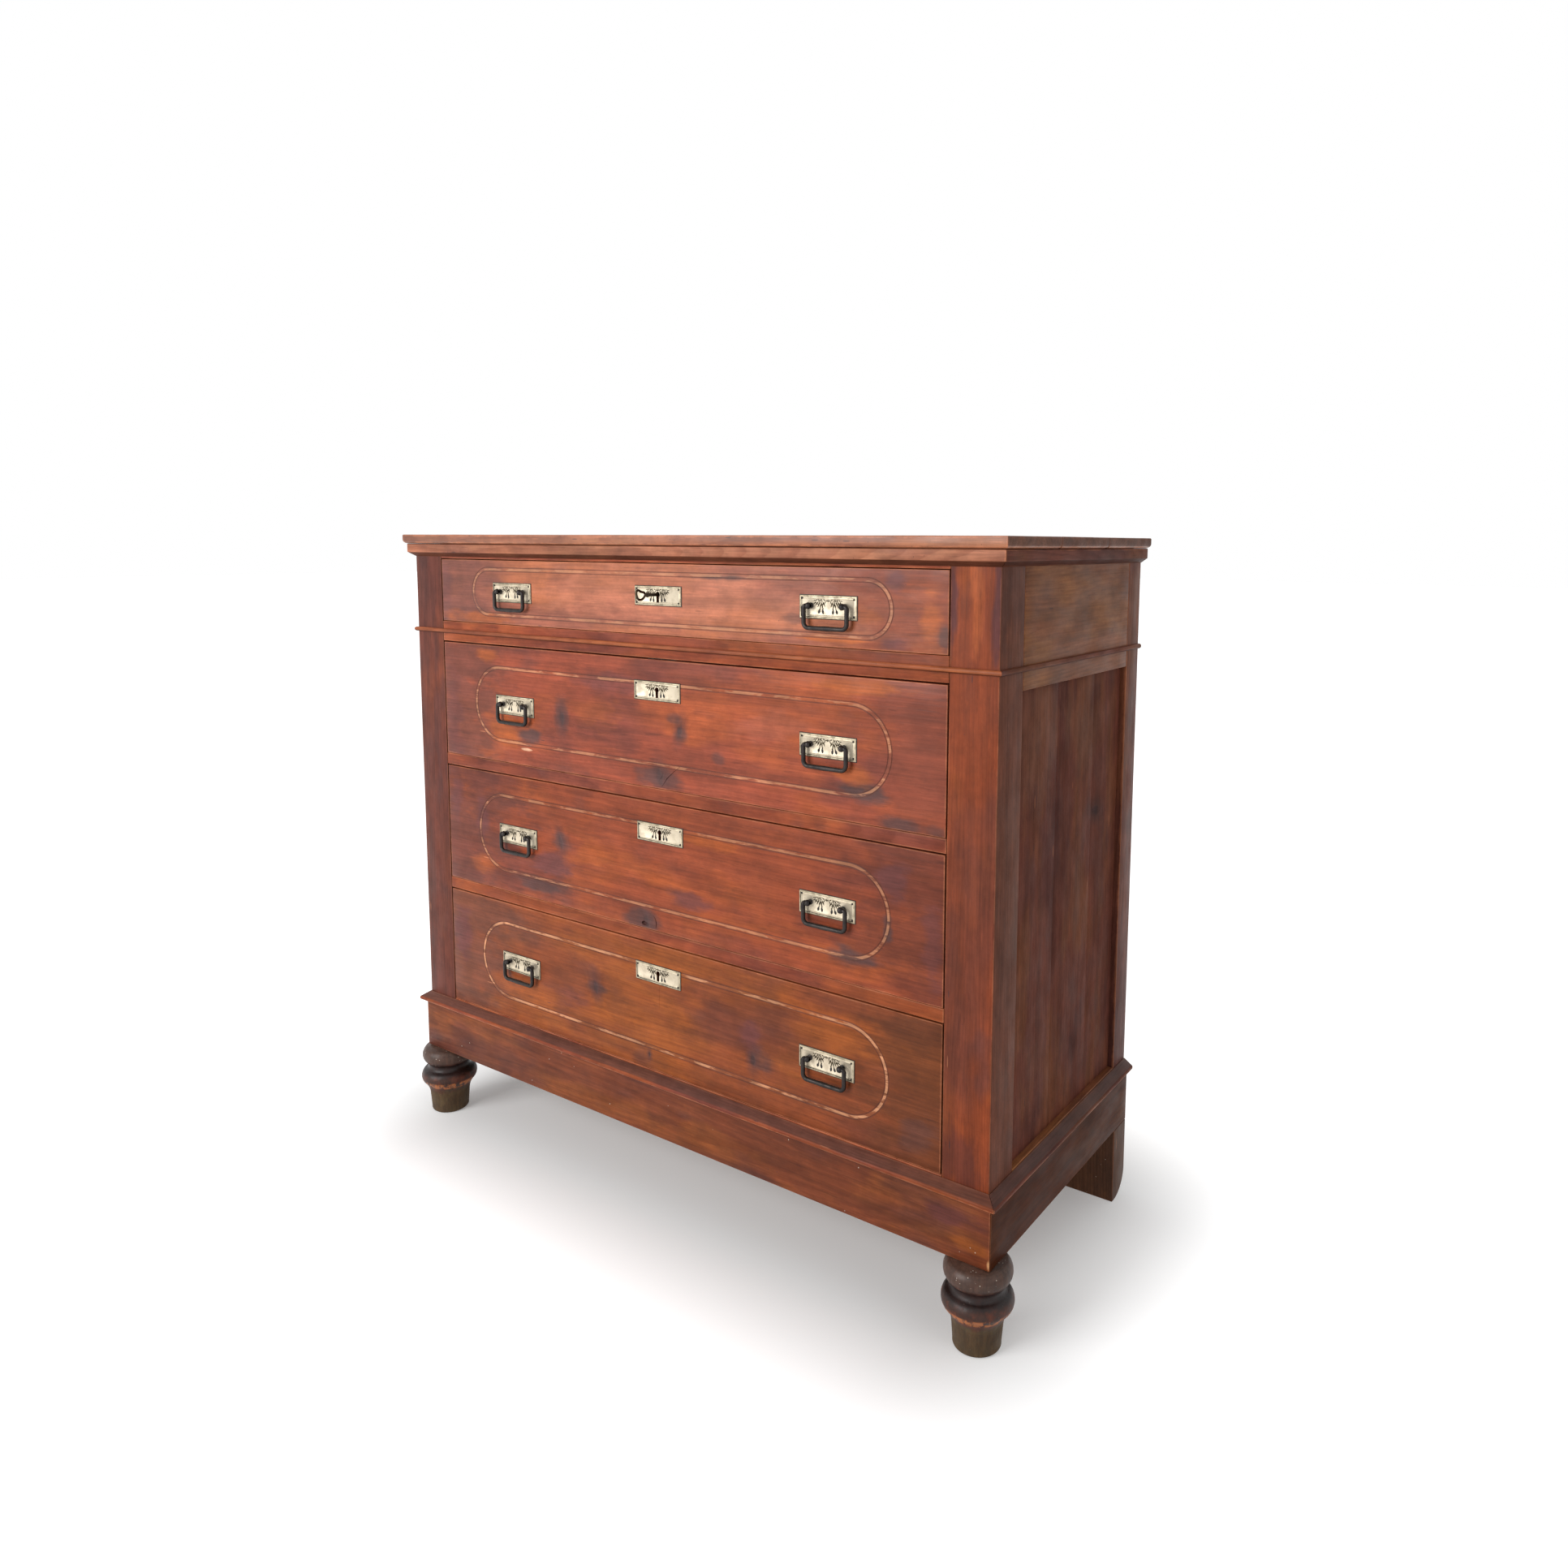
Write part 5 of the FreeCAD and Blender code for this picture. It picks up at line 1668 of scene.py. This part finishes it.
def spiral(start, quarters, radius):
    """A thin bar spun through quarter turns about centres that close in."""
    scroll = disc("scroll", 8, radius, (start[0], front_y - FIELD, start[1]))
    for centre_x, centre_z, angle, share in quarters:
        bpy.ops.mesh.spin(
            steps=4,
            angle=math.radians(angle),
            center=(centre_x, front_y - FIELD, centre_z),
            axis=(0, 1, 0),
        )
        shape = bmesh.from_edit_mesh(scroll.data)
        chosen = [corner.co.copy() for corner in shape.verts if corner.select]
        middle = sum(chosen, Vector()) / len(chosen)
        bpy.ops.transform.resize(value=(share, share, share), center_override=middle)
    close_up(weld=WELD)
    return scroll


def leaf(place, length, width, angle):
    """A teardrop: a small sphere, flattened, with one end drawn to a point."""
    clear_selection()
    bpy.ops.mesh.primitive_uv_sphere_add(segments=10, ring_count=6, radius=1, location=(0, 0, 0))
    made = started("leaf")
    edit()
    select("VERT", lambda p: p.z > 0.1)
    bpy.ops.transform.resize(value=(0.7, 1, 1), center_override=(0, 0, 0))
    select("VERT", lambda p: p.z > 0.6)
    bpy.ops.transform.resize(value=(0.5, 1, 1.25), center_override=(0, 0, 0))
    close_edit()
    turn = Matrix.Rotation(math.radians(angle), 4, "Y")
    size = Matrix.Diagonal((width / 2, RELIEF, length / 2, 1))
    made.data.transform(Matrix.Translation((place[0], front_y - FIELD, place[1])) @ turn @ size)
    return made


print("plate and ornament helpers ready")

# %% [markdown]
# The ornament is the usual stamped foliage of cheap cabinet fittings: a pair of
# scrolls each side, leaves that fan out below them, and dark drops hanging under
# the leaves. It could be a bump pattern, but then the plate would be flat in every
# raking view. Half of it is modelled and the other half is its mirror copy.

# %% Stamped foliage
# Millimetres. Each turn of a scroll is its centre along and up, angle and shrinking.
INNER_SCROLL = ((4.2, 7.2), (
    (8.0, 7.2, 90, 0.9),
    (8.0, 6.0, 90, 0.85),
    (9.0, 6.0, 90, 0.8),
    (9.0, 6.8, 90, 0.8),
))
OUTER_SCROLL = ((19.2, 7.2), (
    (15.6, 7.2, -90, 0.9),
    (15.6, 6.0, -90, 0.85),
    (14.7, 6.0, -90, 0.8),
))
# Each leaf is along, up, length, width and lean.
LEAVES = (
    (2.2, 8.0, 4.2, 1.5, 90),
    (5.4, 2.6, 4.8, 1.7, 200),
    (8.4, 0.6, 5.4, 1.9, 184),
    (11.6, 1.0, 5.6, 1.9, 170),
    (14.6, 2.0, 5.0, 1.7, 148),
    (17.6, 3.4, 4.4, 1.5, 128),
    (11.8, 8.6, 3.4, 1.4, 10),
    (20.6, 8.2, 3.2, 1.2, 95),
    (7.4, -2.4, 3.2, 1.3, 180),
    (12.2, -2.4, 3.2, 1.3, 172),
    (5.8, 9.0, 3.0, 1.6, 60),
    (9.8, 9.2, 3.0, 1.5, 330),
    (14.2, 8.8, 3.4, 1.6, 40),
    (17.4, 8.8, 3.2, 1.5, 300),
    (10.0, 3.6, 4.2, 2.0, 182),
    (13.2, 4.4, 4.0, 1.9, 160),
    (7.0, 4.6, 4.2, 1.9, 200),
    (16.2, 5.4, 3.6, 1.7, 132),
    (20.6, 4.8, 3.4, 1.5, 110),
)
DROPS = ((7.8, -5.6, 7.0, 3.6, 6), (13.4, -5.4, 6.2, 3.8, -20))
SCROLL_BAR = 0.55 * MM


def foliage():
    """One half, to the right of the middle."""
    parts = []
    for start, quarters in (INNER_SCROLL, OUTER_SCROLL):
        turns = [(x * MM, z * MM, angle, share) for x, z, angle, share in quarters]
        scroll = spiral((start[0] * MM, start[1] * MM), turns, SCROLL_BAR)
        parts.append(coat_with(scroll, ornament_metal))
    for shapes, finish in ((LEAVES, ornament_metal), (DROPS, inlay_and_shadow_metal)):
        for x, z, length, width, angle in shapes:
            parts.append(coat_with(leaf((x * MM, z * MM), length * MM, width * MM, angle), finish))
    right = joined("foliage_right", parts)
    left = copy_of(right, "foliage_left", flip=True)
    crown = coat_with(leaf((0, 8.0 * MM), 3.2 * MM, 1.8 * MM, 0), ornament_metal)
    return joined("foliage", [right, left, crown])


pull_plate = joined("pull_plate", [stamped_plate("pull_plate", PLATE_SIZE), foliage()])
escutcheon = stamped_plate("escutcheon", SHIELD_SIZE, keyhole=True)
escutcheon = joined("escutcheon", [escutcheon, foliage()])
smooth(pull_plate, 40)
smooth(escutcheon, 40)
for plate in (pull_plate, escutcheon):
    print(plate.name, len(plate.data.polygons), "faces")

# %% [markdown]
# The studs are turned like the feet, so the same walk up an outline makes them:
# a flange on the plate, a waist, and a ball bored across for the handle's pin. The
# shank goes through the front and takes a square nut. Tiny domed pins hold the
# corners of each plate.

# %% Studs, nuts and pins
EYE_PLACE = 26 * MM
EYE_RISE = 1.5 * MM
EYE_STANDOFF = 7.5 * MM
BALL = 4.4 * MM
BALL_RINGS = 9
WAIST = 2.6 * MM
BORE = 2.2 * MM
SHANK = 1.95 * MM
NUT = 8 * MM
NUT_THICKNESS = 3 * MM
PIN_INSET = 4 * MM
PIN_RADIUS = 1.35 * MM
front_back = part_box("drawer_1_front")[1].y
# Radius and rise in millimetres.
FLANGE = [(3.9, 1.6), (3.9, 2.2), (3.1, 2.6), (2.5, 3.2), (2.5, 4.0)]


def stud():
    """One stud and its nut, on the line x 0 and z 0."""
    outline = [Vector((radius, rise)) * MM for radius, rise in FLANGE]
    first = math.asin(WAIST / BALL)
    for step in range(BALL_RINGS):
        angle = first + (math.pi - first) * step / BALL_RINGS
        outline.append(Vector((BALL * math.sin(angle), EYE_STANDOFF - BALL * math.cos(angle))))
    ball = turned("stud", 20, outline)
    ball.data.transform(Matrix.Translation((0, front_y, 0)) @ Matrix.Rotation(math.pi / 2, 4, "X"))
    cut(ball, bar("bore", 16, BORE, 3 * BALL, (0, front_y - EYE_STANDOFF, 0), ALONG_X))
    nut = block("nut", (-NUT / 2, front_back, -NUT / 2), (NUT / 2, front_back + NUT_THICKNESS, NUT / 2))
    bevel(nut, 0.7 * MM, segments=2)
    shank_end = front_back + NUT_THICKNESS + PAST
    shank = bar("shank", 16, SHANK, shank_end - front_y, (0, (front_y + shank_end) / 2, 0), ALONG_Y)
    bevel(shank, 0.4 * MM, segments=2)
    return coat_with(joined("stud", [ball, nut, shank]), iron)


def corner_pins(size):
    """Four flat domes at a plate's corners."""
    made = []
    for across in (-1, 1):
        for up in (-1, 1):
            place = (across * (size[0] / 2 - PIN_INSET), rim_y, up * (size[1] / 2 - PIN_INSET))
            clear_selection()
            bpy.ops.mesh.primitive_uv_sphere_add(
                segments=10, ring_count=6, radius=PIN_RADIUS, location=place, scale=(1, 0.65, 1))
            made.append(coat_with(started("pin"), iron))
    return joined("pins", made)


one_stud = stud()
pull_studs = joined("pull_studs", [
    copy_of(one_stud, "stud", (-EYE_PLACE, 0, EYE_RISE)),
    copy_of(one_stud, "stud", (EYE_PLACE, 0, EYE_RISE)),
    corner_pins(PLATE_SIZE),
])
bpy.data.objects.remove(one_stud)
shield_pins = corner_pins(SHIELD_SIZE)
smooth(pull_studs, 40)
smooth(shield_pins, 50)
print("studs", len(pull_studs.data.polygons), "faces")

# %% [markdown]
# The handle is one iron rod: a thin pin that sits in the stud, a shoulder, a tight
# bend, a straight leg, a wider bend, and a bar that swells slightly at its middle.
# Extrude makes the straight lengths and spin makes the bends. Only the right half
# is made; a Mirror modifier gives the left.

# %% Drop handles
ROD = 3.0 * MM
ROD_PIN = 1.9 * MM
CAST_ROD = 2.6 * MM
LEG = 33.1 * MM
PIN_END = 24.5 * MM
DROP = 28.2 * MM
CORNER_BEND = 7 * MM
SHOULDER = 0.2 * MM
SWELL = 4 * MM
axis_y = front_y - EYE_STANDOFF


def carry_on(way, distance):
    """Extrudes the rod's end straight on."""
    bpy.ops.mesh.extrude_region_move(TRANSFORM_OT_translate={"value": Vector(way) * distance})


def thicken(share, centre):
    bpy.ops.transform.resize(value=(share, share, share), center_override=centre)


def bend(steps, centre_x, centre_z):
    """A quarter turn of the rod about a centre."""
    centre = (centre_x, axis_y, centre_z)
    bpy.ops.mesh.spin(steps=steps, angle=math.radians(-90), center=centre, axis=(0, 1, 0))


handle = disc("drop_handle", 14, ROD_PIN, (PIN_END, axis_y, 0), ALONG_X)
carry_on((1, 0, 0), LEG - ROD - SHOULDER - PIN_END)
carry_on((1, 0, 0), SHOULDER)
thicken(ROD / ROD_PIN, (LEG - ROD, axis_y, 0))
bend(6, LEG - ROD, -ROD)
carry_on((0, 0, -1), DROP - CORNER_BEND - ROD)
bend(7, LEG - CORNER_BEND, CORNER_BEND - DROP)
carry_on((-1, 0, 0), LEG - CORNER_BEND - 2 * SWELL)
carry_on((-1, 0, 0), SWELL)
thicken(1.1, (SWELL, axis_y, -DROP))
carry_on((-1, 0, 0), SWELL)
bpy.ops.mesh.delete(type="FACE")
close_up(weld=WELD)
mirror = handle.modifiers.new("left half", "MIRROR")
mirror.merge_threshold = 0.02 * MM
apply_all(handle)
uneven(handle, 0.15 * MM)
smooth(handle, 60)
coat_with(handle, iron)
print("handle", [round(value / MM, 1) for value in box_of(handle)[1] - box_of(handle)[0]], "mm")

# %% [markdown]
# Every plate, stud and handle now gets its place. The handles give their own place:
# the middle of the handle's box across the chest, and its top less the rod.

# %% Fit the fittings
for number in range(1, 5):
    name = f"drawer_{number}"
    low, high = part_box(name + "_front")
    lock_low, lock_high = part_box(name + "_lock")
    shield_place = Vector(((lock_low.x + lock_high.x) / 2, 0, high.z - KEYHOLE_DROP - SHIELD_LOWER))
    plates = [copy_of(escutcheon, "plate", shield_place)]
    studs = [copy_of(shield_pins, "stud", shield_place)]
    for side in ("left", "right"):
        bail = f"bail_{number}_{side}"
        handle_low, handle_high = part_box(bail)
        axis = Vector(((handle_low.x + handle_high.x) / 2, 0, handle_high.z - CAST_ROD))
        middle = axis - Vector((0, 0, EYE_RISE))
        plates.append(copy_of(pull_plate, "plate", middle))
        studs.append(copy_of(pull_studs, "stud", middle))
        placed(copy_of(handle, f"handle_{number}_{side}", axis), bail, "dark_iron", bail)
    placed(joined(f"plates_{number}", plates), name, "nickel_silver", name + "_plates")
    placed(joined(f"studs_{number}", studs), name, "dark_iron", name + "_studs")
for template in (pull_plate, escutcheon, pull_studs, shield_pins, handle):
    bpy.data.objects.remove(template)
print("eight pulls and four escutcheons fitted")

# %% [markdown]
# The key stays in the top drawer's lock. Its bow is a shield-shaped loop, which is
# easiest as a closed curve with a round bevel: six points are enough, and the
# curve rounds them. The shaft is turned, and the bit is a filed block with a slit.

# %% Key
key_low, key_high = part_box("key")
KEY_REACH = 25 * MM
BOW_BAR = 1.7 * MM
SHAFT = 2.4 * MM
key_x = (key_low.x + key_high.x) / 2
key_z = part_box("drawer_1_front")[1].z - KEYHOLE_DROP
bow_end = key_low.y + BOW_BAR + 1.6 * MM
bow_start = front_y - KEY_REACH - 0.5 * MM
bow_top = key_high.z - BOW_BAR
bow_bottom = 2 * key_z - key_high.z + BOW_BAR
# Each point is a share of the bow's length from its far end, and of its height.
BOW_POINTS = ((0.02, 0.98), (0.52, 0.86), (1.0, 0.62), (0.90, 0.30), (0.36, 0.02), (0.03, 0.30))

clear_selection()
bpy.ops.curve.primitive_bezier_circle_add(radius=1)
bow = bpy.context.object
line = bow.data.splines[0]
line.bezier_points.add(len(BOW_POINTS) - len(line.bezier_points))
for point, (along, up) in zip(line.bezier_points, BOW_POINTS):
    height = bow_bottom + up * (bow_top - bow_bottom)
    point.co = (key_x, bow_end + along * (bow_start - bow_end), height)
    point.handle_left_type = point.handle_right_type = "AUTO"
bow.data.dimensions = "3D"
bow.data.resolution_u = 6
bow.data.bevel_depth = BOW_BAR * 0.98
bow.data.bevel_resolution = 3
bow.data.use_fill_caps = False
activate(bow)
bpy.ops.object.convert(target="MESH")
bow = started("bow")

shaft_length = key_high.y - bow_start
collar = shaft_length - 5 * MM
KEY_OUTLINE = [
    (SHAFT * 0.8, 0.0), (SHAFT, 0.6 * MM), (SHAFT, collar - 1.2 * MM), (SHAFT * 1.1, collar - 1.0 * MM),
    (SHAFT * 1.45, collar), (SHAFT * 1.45, collar + 1.0 * MM), (SHAFT, collar + 1.8 * MM),
    (SHAFT * 0.8, collar + 2.6 * MM), (SHAFT * 1.0, collar + 3.6 * MM), (SHAFT * 0.5, collar + 5.6 * MM),
]
shaft = turned("shaft", 20, [Vector(point) for point in KEY_OUTLINE])
shaft.data.transform(Matrix.Translation((key_x, key_high.y, key_z)) @ Matrix.Rotation(math.pi / 2, 4, "X"))

bit_low = (key_x - 1.2 * MM, key_high.y - 3.2 * MM, key_low.z)
bit = block("bit", bit_low, (key_x + 1.2 * MM, key_high.y, key_z - SHAFT * 0.6))
ward_low = (key_x - 2 * MM, key_high.y - 1.9 * MM, key_low.z - MM)
ward = block("ward", ward_low, (key_x + 2 * MM, key_high.y - 1.2 * MM, key_low.z + 3 * MM))
bevel(cut(bit, ward), 0.25 * MM, segments=2)
key = smooth(joined("key_piece", [bow, shaft, bit]), 50)
coat_with(key, bright_iron)
placed(key, "key", "dark_iron", "key")
print("key", [round(value / MM, 1) for value in box_of(key)[1] - box_of(key)[0]], "mm")

# %% [markdown]
# The stage is a wide pale floor and an even white world. One large soft lamp from
# the upper left gives the front its satin sheen and leaves the right side darker,
# and a weak lamp fills that side. The floor adds light of its own for the camera
# and for reflections, so it reads as white where it is lit and still keeps the
# soft shadow. That glow is weak over the chest's footprint and grows away from it,
# which paints a soft shadow round the chest.

# %% Floor, world and lamps
def background_rays(tree):
    """1 for what the camera sees straight, in a reflection or through glass."""
    rays = node(tree, "ShaderNodeLightPath").outputs
    seen = maths(tree, "MAXIMUM", rays["Is Camera Ray"], rays["Is Glossy Ray"])
    return maths(tree, "MAXIMUM", seen, rays["Is Transmission Ray"])


SHADOWED_FLOOR_GLOW = 0.16
SHADOW_FOOTPRINT = (0.44, 0.16, 0)
AMBIENT = 0.36

clear_selection()
bpy.ops.mesh.primitive_plane_add(size=60)
floor = started("studio_floor")
floor_paint, tree, shader = new_material("studio floor")
shader["Base Color"].default_value = (0.80, 0.80, 0.80, 1)
shader["Roughness"].default_value = 0.9
shader["Specular IOR Level"].default_value = 0.1
place = node(tree, "ShaderNodeTexCoord").outputs["Object"]
# Painted shadow: the floor's own glow is weakest over the chest's footprint and rises to nearly white 0.42 m
# beyond it.
past = vectors(tree, "SUBTRACT", vectors(tree, "ABSOLUTE", place), SHADOW_FOOTPRINT)
distance = vectors(tree, "LENGTH", vectors(tree, "MAXIMUM", past, (0, 0, 0)), output=1)
strength = fade(tree, distance, 0.0, 0.42, SHADOWED_FLOOR_GLOW, 0.95)
strength = product(tree, background_rays(tree), strength)
glow = node(tree, "ShaderNodeEmission", {"Strength": strength}).outputs[0]
paint = tree.nodes["Principled BSDF"].outputs[0]
both = node(tree, "ShaderNodeAddShader", {0: paint, 1: glow}).outputs[0]
put(tree, tree.nodes["Material Output"].inputs["Surface"], both)
coat_with(floor, floor_paint)

world = bpy.data.worlds.new("studio")
bpy.context.scene.world = world
world.use_nodes = True
tree = world.node_tree
sky = tree.nodes["Background"].inputs
sky["Color"].default_value = (1, 1, 1, 1)
put(tree, sky["Strength"], fade(tree, background_rays(tree), 0, 1, AMBIENT, 1.0))


def lamp(name, place, aim, size, power):
    data = bpy.data.lights.new(name, "AREA")
    data.shape = "SQUARE"
    data.size = size
    data.energy = power
    made = bpy.data.objects.new(name, data)
    bpy.context.scene.collection.objects.link(made)
    made.location = place
    made.rotation_euler = (Vector(aim) - Vector(place)).to_track_quat("-Z", "Y").to_euler()


MIDDLE = Vector((0, 0, 0.55))
lamp("key lamp", (-1.1, -3.1, 1.7), MIDDLE, 2.0, 86)
lamp("fill lamp", (3.4, -0.6, 1.8), MIDDLE, 2.0, 10)
bpy.context.scene.view_settings.view_transform = "Standard"
print("stage set")

# %% [markdown]
# The camera stands at the right-hand front corner, a little below the top's
# height, so the top shows as an edge only. Its lens is fairly wide, and the small
# shift keeps the uprights nearly upright.

# %% Camera
eye = bpy.data.objects.new("camera", bpy.data.cameras.new("camera"))
bpy.context.scene.collection.objects.link(eye)
eye.location = (1.12591, -1.35962, 0.99148)
eye.rotation_euler = [math.radians(angle) for angle in (83.7016, -0.3427, 34.3237)]
eye.data.lens = 25.961
eye.data.sensor_width = 36
eye.data.shift_x = -0.04218
eye.data.shift_y = -0.0746
bpy.context.scene.camera = eye
print("camera ready")

# %% [markdown]
# The last step leaves edit mode and selects nothing. The finished model has to
# stay inside the first box.

# %% Finish
clear_selection()
